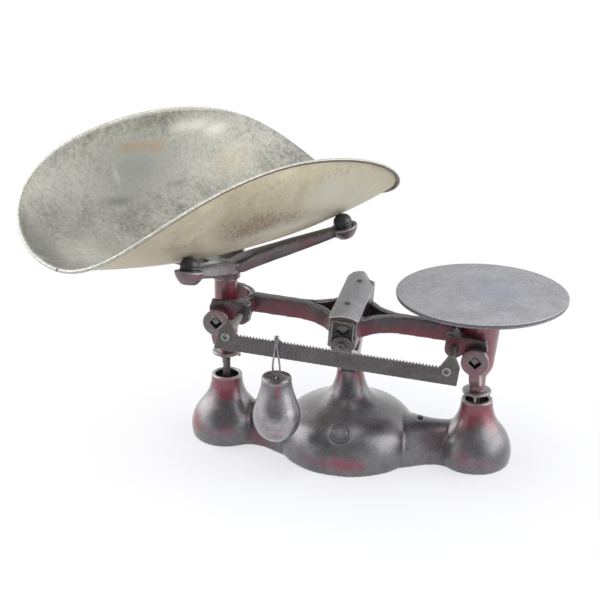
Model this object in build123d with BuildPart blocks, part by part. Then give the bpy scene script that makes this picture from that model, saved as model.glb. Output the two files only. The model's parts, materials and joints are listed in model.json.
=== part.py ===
# Cast-iron even-balance counter scale: a hollow three-footed base, a tilting beam on knife edges,
# two hangers kept upright by a check lever inside the base, a scoop on a four-armed spider,
# a round weight plate, and a notched tare bar with a sliding poise.
# X runs along the beam, Y to the back, Z up; the ground is z = 0. Millimetres throughout.
# The beam is built in its resting attitude, scoop side up, plate side down.

import os
from math import copysign, cos, degrees, hypot, pi, radians, sin, sqrt

from build123d import *

os.makedirs("parts", exist_ok=True)

# ---- driving dimensions ------------------------------------------------------------------
arm_length = 150.0            # fulcrum to each end knife edge, along the beam
rest_tilt = 3.6               # degrees the plate side hangs below level at rest
fulcrum_height = 166.0        # height of the fulcrum edge
end_edge_drop = 8.0           # end knife edges lie this far below the fulcrum edge
check_pivot_height = 36.0     # height of the check lever's pin inside the base
running_gap = 0.3             # air between an edge and its bearing, and between moving castings
shaft_gap = 0.05              # radial play of a pin in its hole

wall = 4.8                    # thickness of the base casting
dome_foot_radius = 82.0
bell_foot_radius = 41.0
mouth_radius = 18.6           # outside radius of a bell's mouth
mouth_height = 79.5
saddle_half_width = 27.3      # at the waist between dome and bell
saddle_height = 46.0
waist_from_bell = 40.0        # distance of the waist from the bell's axis
neck_radius = 15.5            # round column above the dome

knife_half = 6.7              # half the diagonal of a square knife-edge bar
ring_radius = 14.8            # hanger ring, outside
ring_bore = 9.2
ring_inner_face = 34.4        # distance of the ring's near face from the beam's middle line
ring_width = 10.0
yoke_radius = 33.6            # outside of the beam's end yokes
yoke_wall = 6.8
yoke_height = 22.0
yoke_base = -5.0              # underside of a yoke, measured from its knife edge

hub_half_width = 16.0
hub_half_length = 56.0
hub_wall = 4.0
hub_floor = -17.0             # lower edge of the hub's side walls, from the fulcrum edge
hub_roof = 29.0               # crown of the hub, from the fulcrum edge
cover_half_width = 17.0
cover_half_length = 72.0
cover_thickness = 2.0
cover_bend = 34.0             # radius the cover is bent to
cover_screw_reach = 37.0      # a cover screw sits this far each side of the middle
arm_floor = -10.0
arm_roof = 11.0
arm_width = 12.5

bar_front = -97.4             # front face of the notched bar
bar_thickness = 2.8
bar_top = -1.5                # measured from the fulcrum edge
bar_bottom = -22.0
bar_hole_setback = 25.5       # a standoff sits this far inward of an end knife edge
bar_hole_level = -6.5
notch_pitch = 3.6
notch_count = 63
notch_depth = 3.0
first_notch = -109.0
standoff_radius = 4.5

flange_radius = 17.0
flange_drop = 61.8            # underside of the hanger's flange below its knife edge
flange_thickness = 3.8
hanger_neck_radius = 9.6
check_rod_radius = 4.4
check_pin_radius = 2.5
stop_gap = 0.4                # a stop nib clears the mouth by this at the end of the travel

plate_radius = 97.3
plate_thickness = 6.4
plate_top_rise = 61.4         # top of the weight plate above its knife edge
post_radius = 13.5            # post that carries the spider
post_rise = 34.0
spigot_radius = 8.0
spigot_height = 12.0

scoop_bend = 122.8            # radius of the trough, across
scoop_sag = 963.0             # radius the trough's bottom is dished to, lengthways
scoop_half_length = 228.0
scoop_half_arc = 199.0        # half the width of the flat sheet
scoop_sheet = 0.7
edge_power_along = 1.06       # shape of the scoop's oval edge; 1.0 and 1.0 would be an ellipse
edge_power_across = 0.80
scoop_rise = 40.6             # lowest point of the scoop above the post's shoulder
scoop_turn = 55.6             # degrees from the beam to the trough's long direction
scoop_slip_along = -10.0      # the loose scoop has slid this far on its bumpers
scoop_slip_around = 5.5
spider_reach = 137.9          # post to the middle of a bumper
spider_spread = 33.7          # degrees from the trough's direction to an arm
bumper_radius = 11.0
cup_radius = 16.5
cup_foot_radius = 8.0
cup_depth = 15.0
cup_sink = 3.3                # a cup's rim lies this far below the middle of its bumper
cup_seat = 5.0                # depth of the bumper's seat below the rim
cup_lean = 14.0               # degrees a cup leans toward the hub
arm_half = 4.5                # half the width of a spider arm
spider_hub_radius = 17.0
spider_hub_height = 21.0

poise_notch = 12              # the poise hangs over this notch, counted from the left
poise_radius = 27.5
poise_height = 76.0
poise_drop = 43.0             # top of the poise below the bar's teeth
wire_radius = 1.1

# ---- derived places ----------------------------------------------------------------------
tilt = radians(rest_tilt)


def beam_point(u, w):
    """Height and X of a point fixed in the beam, u along it and w above the fulcrum edge."""
    x = u * cos(tilt) + w * sin(tilt)
    z = fulcrum_height - u * sin(tilt) + w * cos(tilt)
    return x, z


# planes that tilt with the beam: one lying flat in it, one facing along Y
beam_flat = Plane(
    origin=(0, 0, fulcrum_height), x_dir=(cos(tilt), 0, -sin(tilt)), z_dir=(sin(tilt), 0, cos(tilt))
)
beam_upright = Plane(
    origin=(0, 0, fulcrum_height), x_dir=(cos(tilt), 0, -sin(tilt)), z_dir=(0, -1, 0)
)
left_edge_x, left_edge_z = beam_point(-arm_length, -end_edge_drop)
right_edge_x, right_edge_z = beam_point(arm_length, -end_edge_drop)
linkage_drop = fulcrum_height - check_pivot_height
left_pin_z = left_edge_z - linkage_drop
right_pin_z = right_edge_z - linkage_drop
bar_middle = bar_front + bar_thickness / 2
bar_hole_spacing = arm_length - bar_hole_setback


def upright_at(x, z, y=0.0):
    """A plane facing the front, its origin at the given place; its local Y is up."""
    return Plane(origin=(x, y, z), x_dir=(1, 0, 0), z_dir=(0, -1, 0))


def both_sides(start, end):
    """Front and rear spans of Y for a piece that lies between two distances from the middle."""
    return [(-end, -start), (start, end)]


# ---- base casting ------------------------------------------------------------------------
dome_line = [(dome_foot_radius, 0), (dome_foot_radius + 1, 10), (dome_foot_radius - 1, 24),
             (dome_foot_radius - 7, 38), (dome_foot_radius - 18, 49.5),
             (dome_foot_radius - 34, 57.5), (neck_radius + 18.5, 64.0), (neck_radius + 9.5, 71.5),
             (neck_radius + 4, 82.0), (neck_radius, 98.0)]
bell_line = [(bell_foot_radius, 0), (bell_foot_radius + 2, 12), (bell_foot_radius, 26),
             (bell_foot_radius - 7, 40), (mouth_radius + 7.4, 50.5), (mouth_radius + 2.2, 62),
             (mouth_radius, mouth_height)]


def inset(line, depth):
    """The same outline moved inward by the wall, point by point along its own normal."""
    moved = []
    last = len(line) - 1
    for i, (r, z) in enumerate(line):
        r0, z0 = line[max(i - 1, 0)]
        r1, z1 = line[min(i + 1, last)]
        run = hypot(r1 - r0, z1 - z0)
        moved.append((r - depth * (z1 - z0) / run, z + depth * (r1 - r0) / run))
    return moved


def turned_solid(x, line, mode=Mode.ADD):
    """Solid of revolution about the vertical through x, under the outline."""
    with BuildSketch(upright_at(x, 0)) as face:
        with BuildLine():
            Spline(*line)
            Polyline(line[-1], (0, line[-1][1]), (0, line[0][1]), line[0])
        make_face()
    revolve(face.sketch, axis=Axis((x, 0, 0), (0, 0, 1)), mode=mode)


def saddle(side, depth, floor, mode=Mode.ADD):
    """Arched tunnel that narrows from the dome to a waist and widens again into a bell."""
    waist_x = arm_length - waist_from_bell
    flank_x = 0.80 * dome_foot_radius
    # distance from the middle, half width at the floor, height
    stations = [
        (0.50 * dome_foot_radius, 0.62 * dome_foot_radius, saddle_height + 3),
        (flank_x, 0.56 * dome_foot_radius, saddle_height + 1.5),
        (0.4 * flank_x + 0.6 * waist_x, saddle_half_width + 5, saddle_height + 0.3),
        (waist_x, saddle_half_width, saddle_height),
        (waist_x + 17, saddle_half_width + 4.5, saddle_height + 1),
        (arm_length - 11, 0.88 * bell_foot_radius, saddle_height + 2),
    ]
    sections = []
    for x, half_width, height in stations:
        with BuildSketch(Plane(origin=(side * x, 0, 0), x_dir=(0, 1, 0), z_dir=(1, 0, 0))) as face:
            Ellipse(half_width - depth, height - depth)
            with Locations((0, floor)):
                Rectangle(4 * half_width, 2 * height, align=(Align.CENTER, Align.MAX),
                          mode=Mode.SUBTRACT)
        sections.append(face.sketch)
    loft(sections, mode=mode)


bearing_floor = 8.0           # the base's heads end this far below the fulcrum edge
head_top = fulcrum_height - bearing_floor
head_half_width = 9.0
head_span = (36.0, 50.0)      # near and far face of a head, from the middle
bolt_level = head_top - 6.0
bolt_radius = 4.0

plug_tilt = radians(44)
plug_plane = Plane(
    origin=(2, 16.0 - dome_foot_radius, 48.4), x_dir=(1, 0, 0), z_dir=(0, -cos(plug_tilt), sin(plug_tilt))
)
plug_radius = 12.5
plug_seat = 2.4
screw_x = arm_length - waist_from_bell - 25.0
screw_head_radius = 3.4

with BuildPart() as base_casting:
    turned_solid(0, dome_line)
    for side in (-1, 1):
        turned_solid(side * arm_length, bell_line)
        saddle(side, 0, -1)
    # one flat foot under all of it
    with Locations((0, 0, 0)):
        Box(3 * arm_length, 3 * dome_foot_radius, 10, align=(Align.CENTER, Align.CENTER, Align.MAX),
            mode=Mode.SUBTRACT)
    # the hollow underneath, open at the floor and at the two mouths
    hollow_line = inset(dome_line[:8], wall)
    hollow_line[0] = (dome_foot_radius - wall, -1)
    turned_solid(0, hollow_line, Mode.SUBTRACT)
    mouth_line = inset(bell_line, wall)
    mouth_line[0] = (bell_foot_radius - wall, -1)
    mouth_line[-1] = (mouth_radius - wall, mouth_height + 1)
    for side in (-1, 1):
        turned_solid(side * arm_length, mouth_line, Mode.SUBTRACT)
        saddle(side, wall, -1, Mode.SUBTRACT)
    # lugs for the check lever's pin, hanging from the roof of the dome
    for near, far in both_sides(5.6, 13.0):
        with BuildSketch(upright_at(0, check_pivot_height, far)):
            Rectangle(18, 36, align=(Align.CENTER, Align.MIN))
            Circle(9)
        extrude(amount=far - near)
    with BuildSketch(upright_at(0, check_pivot_height, 20)):
        Circle(check_pin_radius)
    extrude(amount=40, mode=Mode.SUBTRACT)
    # column and its fork
    with BuildSketch(Plane.XY.offset(dome_line[-1][1])):
        Circle(neck_radius)
    extrude(amount=16)
    with BuildSketch(Plane(origin=(-head_half_width, 0, 0), x_dir=(0, 1, 0), z_dir=(1, 0, 0))):
        with BuildLine():
            Polyline((-neck_radius, 104), (-24, 120), (-head_span[1], 138),
                     (-head_span[1], head_top), (-head_span[0], head_top), (-head_span[0], 142),
                     (0, 124), (head_span[0], 142), (head_span[0], head_top),
                     (head_span[1], head_top), (head_span[1], 138), (24, 120),
                     (neck_radius, 104), (-neck_radius, 104))
        make_face()
    extrude(amount=2 * head_half_width)
    with BuildSketch(upright_at(0, bolt_level, head_span[1] + 1)):
        Circle(bolt_radius)
    extrude(amount=2 * head_span[1] + 2, mode=Mode.SUBTRACT)
    # pocket of the round plug and hole of the saddle screw
    with BuildSketch(plug_plane.offset(-plug_seat)):
        Circle(plug_radius)
    extrude(amount=12, mode=Mode.SUBTRACT)
    with BuildSketch(Plane.XY.offset(saddle_height - wall - 2)):
        with Locations((screw_x, 0)):
            Circle(2.0)
    extrude(amount=20, mode=Mode.SUBTRACT)
    with BuildSketch(Plane.XY.offset(saddle_height)):
        with Locations((screw_x, 0)):
            Circle(screw_head_radius + 0.4)
    extrude(amount=12, mode=Mode.SUBTRACT)
base_casting.part.label = "base_casting"
export_step(base_casting.part, "parts/base_casting.step")

with BuildPart() as base_plug:
    with BuildSketch(plug_plane.offset(-plug_seat)):
        Circle(plug_radius)
    extrude(amount=plug_seat + 1.8)
    with BuildSketch(plug_plane.offset(1.8)):
        Circle(plug_radius - 3)
    extrude(amount=1.0)
base_plug.part.label = "base_plug"
export_step(base_plug.part, "parts/base_plug.step")

with BuildPart() as saddle_screw:
    with BuildSketch(Plane.XY.offset(saddle_height - wall - 1)):
        with Locations((screw_x, 0)):
            Circle(2.0)
    extrude(amount=wall + 1)
    with BuildSketch(Plane.XY.offset(saddle_height)):
        with Locations((screw_x, 0)):
            Circle(screw_head_radius)
    extrude(amount=2.6)
    fillet(saddle_screw.edges().group_by(Axis.Z)[-1], 1.0)
saddle_screw.part.label = "saddle_screw"
export_step(saddle_screw.part, "parts/saddle_screw.step")

# ---- bearings and bolts in the base's heads ----------------------------------------------
with BuildPart() as fulcrum_bearings:
    for near, far in both_sides(*head_span):
        with BuildSketch(upright_at(0, fulcrum_height, far)):
            with BuildLine():
                Polyline((-6, -bearing_floor), (6, -bearing_floor), (6, 2.5), (0, -running_gap),
                         (-6, 2.5), (-6, -bearing_floor))
            make_face()
        extrude(amount=far - near)
fulcrum_bearings.part.label = "fulcrum_bearings"
export_step(fulcrum_bearings.part, "parts/fulcrum_bearings.step")

washer_radius = 12.5
washer_face = 57.0
washer_thickness = 3.0

with BuildPart() as head_washers:
    for near, far in both_sides(washer_face, washer_face + washer_thickness):
        with BuildSketch(upright_at(0, bolt_level, far)):
            Circle(washer_radius)
            Circle(bolt_radius, mode=Mode.SUBTRACT)
        extrude(amount=far - near)
head_washers.part.label = "head_washers"
export_step(head_washers.part, "parts/head_washers.step")

# a shouldered stud through each head; its collar holds the washer off the hub
with BuildPart() as head_bolts:
    for near, far in both_sides(head_span[0], washer_face + washer_thickness):
        with BuildSketch(upright_at(0, bolt_level, far)):
            Circle(bolt_radius)
        extrude(amount=far - near)
    for near, far in both_sides(head_span[1], washer_face):
        with BuildSketch(upright_at(0, bolt_level, far)):
            Circle(5.2)
        extrude(amount=far - near)
    nut_face = washer_face + washer_thickness
    for near, far in both_sides(nut_face, nut_face + 3.5):
        with BuildSketch(upright_at(0, bolt_level, far)):
            RegularPolygon(6.2, 6)
        extrude(amount=far - near)
    for near, far in both_sides(nut_face + 3.5, nut_face + 6.5):
        with BuildSketch(upright_at(0, bolt_level, far)):
            Rectangle(4.2, 4.2, rotation=12)
        extrude(amount=far - near)
head_bolts.part.label = "head_bolts"
export_step(head_bolts.part, "parts/head_bolts.step")

# ---- beam --------------------------------------------------------------------------------
end_edge_level = -end_edge_drop
hub_block = 30.0              # solid middle of the hub that grips the fulcrum knife edge
hub_ceiling = 14.0
fork_point = 66.0             # where an arm parts into its two branches
arm_root = 14.0               # the branches meet the hub this far from its middle
arm_inner_end = arm_length - yoke_radius + 4
lug_radius = 11.0
lug_u = bar_hole_spacing
lug_span = (19.0, yoke_radius)
cheek_length = 36.5           # square front corner of a yoke, from its middle towards the hub


def beam_face(y):
    """The beam's own front-facing plane, moved to a given Y."""
    return beam_upright.offset(-y)


def knife_square(u, w, mode=Mode.ADD):
    """Square bar standing on its corner."""
    with Locations((u, w)):
        Rectangle(knife_half * sqrt(2), knife_half * sqrt(2), rotation=45, mode=mode)


def arch(half_width, crown):
    """Height of the cover's curve at its edge, for a curve that reaches the crown."""
    return crown - cover_bend + sqrt(cover_bend ** 2 - half_width ** 2)


with BuildPart() as beam_casting:
    # end yokes, open outward
    for side in (-1, 1):
        with BuildSketch(beam_flat.offset(end_edge_level + yoke_base)):
            with Locations((side * arm_length, 0)):
                Circle(yoke_radius)
            with Locations((side * (arm_length + 5), 0)):
                Rectangle(10, 2 * yoke_radius)
            with Locations((side * (arm_length - cheek_length / 2), -(yoke_radius + lug_span[0]) / 2)):
                RectangleRounded(cheek_length, yoke_radius - lug_span[0], 6)
            with Locations((side * arm_length, 0)):
                Circle(yoke_radius - yoke_wall, mode=Mode.SUBTRACT)
            with Locations((side * (arm_length + 20), 0)):
                Rectangle(40, 2 * (yoke_radius - yoke_wall), mode=Mode.SUBTRACT)
            with Locations((side * (arm_length + 10 + 15), 0)):
                Rectangle(30, 3 * yoke_radius, mode=Mode.SUBTRACT)
        extrude(amount=yoke_height)
        for near, far in both_sides(yoke_radius - yoke_wall, yoke_radius):
            with BuildSketch(beam_face(far)):
                with Locations((side * arm_length, end_edge_level - knife_half)):
                    Circle(11)
                with Locations((side * (arm_length + 1), end_edge_level + 6)):
                    Circle(11)
            extrude(amount=far - near)
    # arms: one bar from each yoke, parting into a front and a rear branch
    with BuildSketch(beam_flat.offset(arm_floor)):
        for side in (-1, 1):
            with Locations((side * (fork_point - 6 + arm_inner_end) / 2, 0)):
                Rectangle(arm_inner_end - fork_point + 6, arm_width)
            for face in (-1, 1):
                with BuildLine():
                    outer = Spline((side * fork_point, face * arm_width / 2),
                                   (side * arm_root, face * 41),
                                   tangents=((-side, 0), (-side * 0.6, face)))
                    rim = Line(outer @ 1, (side * arm_root, face * 28))
                    inner = Spline(rim @ 1, (side * (fork_point - 10), 0),
                                   tangents=((side * 0.6, -face), (side, 0)))
                    Polyline(inner @ 1, (side * fork_point, 0), outer @ 0)
                make_face()
    extrude(amount=arm_roof - arm_floor)
    # hub: an upturned channel over the base's two heads
    with BuildSketch(beam_face(hub_half_length)):
        with BuildLine():
            shoulder = arch(hub_half_width, hub_roof)
            ThreePointArc((-hub_half_width, shoulder), (0, hub_roof), (hub_half_width, shoulder))
            Polyline((hub_half_width, shoulder), (hub_half_width, hub_floor),
                     (-hub_half_width, hub_floor), (-hub_half_width, shoulder))
        make_face()
    extrude(amount=2 * hub_half_length)
    hollow = 2 * (hub_half_width - hub_wall)
    with BuildSketch(beam_face(hub_half_length + 1)):
        with Locations((0, hub_floor - 1)):
            Rectangle(hollow, 1 + abs(hub_floor) - 3, align=(Align.CENTER, Align.MIN))
    extrude(amount=2 * hub_half_length + 2, mode=Mode.SUBTRACT)
    for near, far in both_sides(hub_block, hub_half_length + 1):
        with BuildSketch(beam_face(far)):
            with Locations((0, -4)):
                Rectangle(hollow, hub_ceiling + 4, align=(Align.CENTER, Align.MIN))
        extrude(amount=far - near, mode=Mode.SUBTRACT)
    # lugs for the bar's standoffs, under the front wall of each yoke
    with BuildSketch(beam_face(-lug_span[0])):
        with Locations((-lug_u, bar_hole_level), (lug_u, bar_hole_level)):
            Circle(lug_radius)
    extrude(amount=lug_span[1] - lug_span[0])
    with BuildSketch(beam_face(-lug_span[1] + 9)):
        with Locations((-lug_u, bar_hole_level), (lug_u, bar_hole_level)):
            Circle(standoff_radius)
    extrude(amount=20, mode=Mode.SUBTRACT)
    # sockets of the knife edges
    with BuildSketch(beam_face(hub_block + 1)):
        knife_square(0, knife_half)
    extrude(amount=2 * hub_block + 2, mode=Mode.SUBTRACT)
    with BuildSketch(beam_face(yoke_radius + 1)):
        knife_square(-arm_length, end_edge_level - knife_half)
        knife_square(arm_length, end_edge_level - knife_half)
    extrude(amount=2 * yoke_radius + 2, mode=Mode.SUBTRACT)
    # screw holes of the cover
    with BuildSketch(beam_flat.offset(hub_ceiling - 1)):
        with Locations((0, -cover_screw_reach), (0, cover_screw_reach)):
            Circle(1.8)
    extrude(amount=20, mode=Mode.SUBTRACT)
beam_casting.part.label = "beam_casting"
export_step(beam_casting.part, "parts/beam_casting.step")

with BuildPart() as beam_cover:
    with BuildSketch(beam_face(cover_half_length)):
        with BuildLine():
            low = arch(cover_half_width, hub_roof)
            rise = cover_thickness
            ThreePointArc((-cover_half_width, low), (0, hub_roof), (cover_half_width, low))
            Line((cover_half_width, low), (cover_half_width, low + rise))
            ThreePointArc((cover_half_width, low + rise), (0, hub_roof + rise),
                          (-cover_half_width, low + rise))
            Line((-cover_half_width, low + rise), (-cover_half_width, low))
        make_face()
    extrude(amount=2 * cover_half_length)
    with BuildSketch(beam_flat.offset(hub_roof - 10)):
        RectangleRounded(2 * cover_half_width, 2 * cover_half_length, 6)
    extrude(amount=20, mode=Mode.INTERSECT)
    with BuildSketch(beam_flat.offset(hub_roof - 5)):
        with Locations((0, -cover_screw_reach), (0, cover_screw_reach)):
            Circle(1.8)
    extrude(amount=20, mode=Mode.SUBTRACT)
beam_cover.part.label = "beam_cover"
export_step(beam_cover.part, "parts/beam_cover.step")

with BuildPart() as cover_screws:
    with BuildSketch(beam_flat.offset(hub_ceiling + 2)):
        with Locations((0, -cover_screw_reach), (0, cover_screw_reach)):
            Circle(1.8)
    extrude(amount=hub_roof + cover_thickness - hub_ceiling - 2)
    with BuildSketch(beam_flat.offset(hub_roof + cover_thickness)):
        with Locations((0, -cover_screw_reach), (0, cover_screw_reach)):
            Circle(3.4)
    extrude(amount=1.3)
cover_screws.part.label = "cover_screws"
export_step(cover_screws.part, "parts/cover_screws.step")

knife_end = 54.0
with BuildPart() as fulcrum_knife_edge:
    with BuildSketch(beam_face(knife_end)):
        knife_square(0, knife_half)
    extrude(amount=2 * knife_end)
fulcrum_knife_edge.part.label = "fulcrum_knife_edge"
export_step(fulcrum_knife_edge.part, "parts/fulcrum_knife_edge.step")

ring_far_face = ring_inner_face + ring_width


def end_knives(side):
    """Front and rear stubs of one yoke's knife edge."""
    for near, far in both_sides(yoke_radius - yoke_wall, ring_far_face + 0.6):
        with BuildSketch(beam_face(far)) as face:
            knife_square(side * arm_length, end_edge_level - knife_half)
        extrude(face.sketch, amount=far - near)


with BuildPart() as left_knife_edges:
    end_knives(-1)
left_knife_edges.part.label = "left_knife_edges"
export_step(left_knife_edges.part, "parts/left_knife_edges.step")

with BuildPart() as right_knife_edges:
    end_knives(1)
right_knife_edges.part.label = "right_knife_edges"
export_step(right_knife_edges.part, "parts/right_knife_edges.step")

# thin plates closing the hub's ends, with an open notch around the knife edge
with BuildPart() as hub_end_plates:
    for near, far in both_sides(hub_half_length - 3.6, hub_half_length - 1.0):
        with BuildSketch(beam_face(far)):
            with Locations((0, -bearing_floor)):
                Rectangle(hollow, hub_ceiling + bearing_floor, align=(Align.CENTER, Align.MIN))
            with Locations((-4.6, 8.4), (4.6, 8.4)):
                Circle(4.6, mode=Mode.SUBTRACT)
            with BuildLine():
                Polyline((-8.9, 7), (0, -3.2), (8.9, 7), (-8.9, 7))
            make_face(mode=Mode.SUBTRACT)
            knife_square(0, knife_half, Mode.SUBTRACT)
        extrude(amount=far - near)
hub_end_plates.part.label = "hub_end_plates"
export_step(hub_end_plates.part, "parts/hub_end_plates.step")

# ---- notched bar -------------------------------------------------------------------------
bar_end = bar_hole_spacing + 12.5
tab_top = 12.0
rivet_hole = 2.6
notch_side = hypot(1.45, notch_depth)

with BuildPart() as notched_bar:
    with BuildSketch(beam_face(bar_front + bar_thickness)):
        with BuildLine():
            Polyline((-bar_end, bar_bottom), (bar_end, bar_bottom), (bar_end + 1.5, 0),
                     (bar_hole_spacing + 8, tab_top), (bar_hole_spacing, tab_top),
                     (bar_hole_spacing - 8, bar_top), (12 - bar_hole_spacing, bar_top),
                     (6 - bar_hole_spacing, tab_top), (-bar_hole_spacing, tab_top),
                     (-bar_hole_spacing - 8, 3), (-bar_end, bar_bottom))
        make_face()
        with Locations(*[(first_notch + i * notch_pitch, bar_top) for i in range(notch_count)]):
            Triangle(a=2.9, b=notch_side, c=notch_side, rotation=180,
                     align=(Align.CENTER, Align.MIN), mode=Mode.SUBTRACT)
        with Locations((-bar_hole_spacing, bar_hole_level), (bar_hole_spacing, bar_hole_level)):
            Circle(rivet_hole, mode=Mode.SUBTRACT)
    extrude(amount=bar_thickness)
notched_bar.part.label = "notched_bar"
export_step(notched_bar.part, "parts/notched_bar.step")

with BuildPart() as bar_standoffs:
    with BuildSketch(beam_face(-lug_span[1] + 8)):
        with Locations((-bar_hole_spacing, bar_hole_level), (bar_hole_spacing, bar_hole_level)):
            Circle(standoff_radius)
    extrude(amount=-lug_span[1] + 8 - bar_front - bar_thickness)
    with BuildSketch(beam_face(bar_front + bar_thickness + 8)):
        with Locations((-bar_hole_spacing, bar_hole_level), (bar_hole_spacing, bar_hole_level)):
            Circle(rivet_hole)
    extrude(amount=20, mode=Mode.SUBTRACT)
bar_standoffs.part.label = "bar_standoffs"
export_step(bar_standoffs.part, "parts/bar_standoffs.step")

with BuildPart() as bar_rivets:
    with BuildSketch(beam_face(bar_front + bar_thickness + 8)):
        with Locations((-bar_hole_spacing, bar_hole_level), (bar_hole_spacing, bar_hole_level)):
            Circle(rivet_hole)
    extrude(amount=8 + bar_thickness)
    with BuildSketch(beam_face(bar_front)):
        with Locations((-bar_hole_spacing, bar_hole_level), (bar_hole_spacing, bar_hole_level)):
            Circle(rivet_hole + 2.4)
    extrude(amount=2.2, taper=20)
bar_rivets.part.label = "bar_rivets"
export_step(bar_rivets.part, "parts/bar_rivets.step")

# ---- hangers -----------------------------------------------------------------------------
nib_height = (right_edge_z - flange_drop) - (mouth_height + stop_gap)
cradle_half = 6.5
cradle_level = -18.0
post_root = -44.0


def hanger_frame(x, z):
    """Flange, neck, cradle and the two rings of a hanger whose knife edge is at x, z."""
    with BuildSketch(Plane.XY.offset(z - flange_drop)) as face:
        with Locations((x, 0)):
            Circle(flange_radius)
    extrude(face.sketch, amount=flange_thickness)
    # three nibs that land on the bell's mouth at the end of the travel
    with BuildSketch(Plane.XY.offset(z - flange_drop - nib_height)) as face:
        with Locations((x, 0)):
            with PolarLocations(mouth_radius - 3.0, 3, start_angle=30):
                Circle(1.5)
    extrude(face.sketch, amount=nib_height)
    with BuildSketch(Plane.XY.offset(z - flange_drop + flange_thickness)) as face:
        with Locations((x, 0)):
            Circle(hanger_neck_radius)
    extrude(face.sketch, amount=flange_drop - flange_thickness + post_root)
    # cradle: a thick U across the beam, from one ring to the other under the yoke
    with BuildSketch(Plane(origin=(x - cradle_half, 0, z), x_dir=(0, 1, 0), z_dir=(1, 0, 0))) as face:
        with BuildLine():
            EllipticalCenterArc((0, cradle_level), ring_far_face, 32, 180, arc_size=180)
            Polyline((ring_far_face, cradle_level), (ring_far_face, -7), (ring_inner_face, -7),
                     (ring_inner_face, cradle_level))
            EllipticalCenterArc((0, cradle_level), ring_inner_face, 19, 180, arc_size=180)
            Polyline((-ring_inner_face, cradle_level), (-ring_inner_face, -7),
                     (-ring_far_face, -7), (-ring_far_face, cradle_level))
        make_face()
    extrude(face.sketch, amount=2 * cradle_half)
    for near, far in both_sides(ring_inner_face, ring_far_face):
        with BuildSketch(upright_at(x, z, far)) as face:
            with Locations((0, -knife_half)):
                Circle(ring_radius)
        extrude(face.sketch, amount=far - near)
    for near, far in both_sides(ring_inner_face - 0.5, ring_far_face + 1):
        with BuildSketch(upright_at(x, z, far)) as face:
            with Locations((0, -knife_half)):
                Circle(ring_bore)
        extrude(face.sketch, amount=far - near, mode=Mode.SUBTRACT)
    # blind hole for the check rod, from below
    with BuildSketch(Plane.XY.offset(z - flange_drop - 1)) as face:
        with Locations((x, 0)):
            Circle(check_rod_radius)
    extrude(face.sketch, amount=13, mode=Mode.SUBTRACT)


def turned_post(x, z, line):
    """Round post of a hanger: outline as radius and height above the knife edge."""
    with BuildSketch(upright_at(x, z)) as face:
        with BuildLine():
            Polyline(*line, (0, line[-1][1]), (0, line[0][1]), line[0])
        make_face()
    revolve(face.sketch, axis=Axis((x, 0, 0), (0, 0, 1)))


with BuildPart() as left_hanger:
    hanger_frame(left_edge_x, left_edge_z)
    turned_post(left_edge_x, left_edge_z,
                [(hanger_neck_radius, post_root - 1), (post_radius, post_root + 9),
                 (post_radius, post_rise), (spigot_radius, post_rise),
                 (spigot_radius, post_rise + spigot_height)])
left_hanger.part.label = "left_hanger"
export_step(left_hanger.part, "parts/left_hanger.step")

cone_rise = 44.0
cone_radius = 23.0
with BuildPart() as right_hanger:
    hanger_frame(right_edge_x, right_edge_z)
    turned_post(right_edge_x, right_edge_z,
                [(hanger_neck_radius, post_root - 1), (hanger_neck_radius + 1, post_root + 4),
                 (cone_radius - 7.5, post_root + 12), (cone_radius - 5.5, post_root + 18),
                 (cone_radius - 1, 14), (cone_radius, cone_rise),
                 (spigot_radius, cone_rise), (spigot_radius, cone_rise + spigot_height)])
right_hanger.part.label = "right_hanger"
export_step(right_hanger.part, "parts/right_hanger.step")


def ring_bearings(x, z):
    """Hard inserts in the tops of the two rings, each with a notch over the knife edge."""
    for near, far in both_sides(ring_inner_face, ring_far_face):
        with BuildSketch(upright_at(x, z, far)) as face:
            with Locations((0, -knife_half)):
                Circle(ring_bore)
            with BuildLine():
                Polyline((-20, -9), (0, running_gap), (20, -9), (20, -30), (-20, -30), (-20, -9))
            make_face(mode=Mode.SUBTRACT)
        extrude(face.sketch, amount=far - near)


with BuildPart() as left_bearings:
    ring_bearings(left_edge_x, left_edge_z)
left_bearings.part.label = "left_bearings"
export_step(left_bearings.part, "parts/left_bearings.step")

with BuildPart() as right_bearings:
    ring_bearings(right_edge_x, right_edge_z)
right_bearings.part.label = "right_bearings"
export_step(right_bearings.part, "parts/right_bearings.step")

eye_radius = 6.5
eye_half = 2.6


def check_rod(x, z, pin_z):
    """Rod from the hanger's neck down to an eye on the check lever."""
    with BuildSketch(Plane.XY.offset(pin_z + 4)) as face:
        with Locations((x, 0)):
            Circle(check_rod_radius)
    extrude(face.sketch, amount=z - flange_drop + 12 - pin_z - 4)
    with BuildSketch(upright_at(x, pin_z, eye_half)) as face:
        Circle(eye_radius)
    extrude(face.sketch, amount=2 * eye_half)
    with BuildSketch(Plane.XY.offset(pin_z - 10)) as face:
        with Locations((x, eye_half + 5), (x, -eye_half - 5)):
            Rectangle(20, 10)
    extrude(face.sketch, amount=10 + eye_radius + 2.5, mode=Mode.SUBTRACT)
    with BuildSketch(upright_at(x, pin_z, 10)) as face:
        Circle(check_pin_radius + running_gap)
    extrude(face.sketch, amount=20, mode=Mode.SUBTRACT)


with BuildPart() as left_check_rod:
    check_rod(left_edge_x, left_edge_z, left_pin_z)
left_check_rod.part.label = "left_check_rod"
export_step(left_check_rod.part, "parts/left_check_rod.step")

with BuildPart() as right_check_rod:
    check_rod(right_edge_x, right_edge_z, right_pin_z)
right_check_rod.part.label = "right_check_rod"
export_step(right_check_rod.part, "parts/right_check_rod.step")

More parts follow.
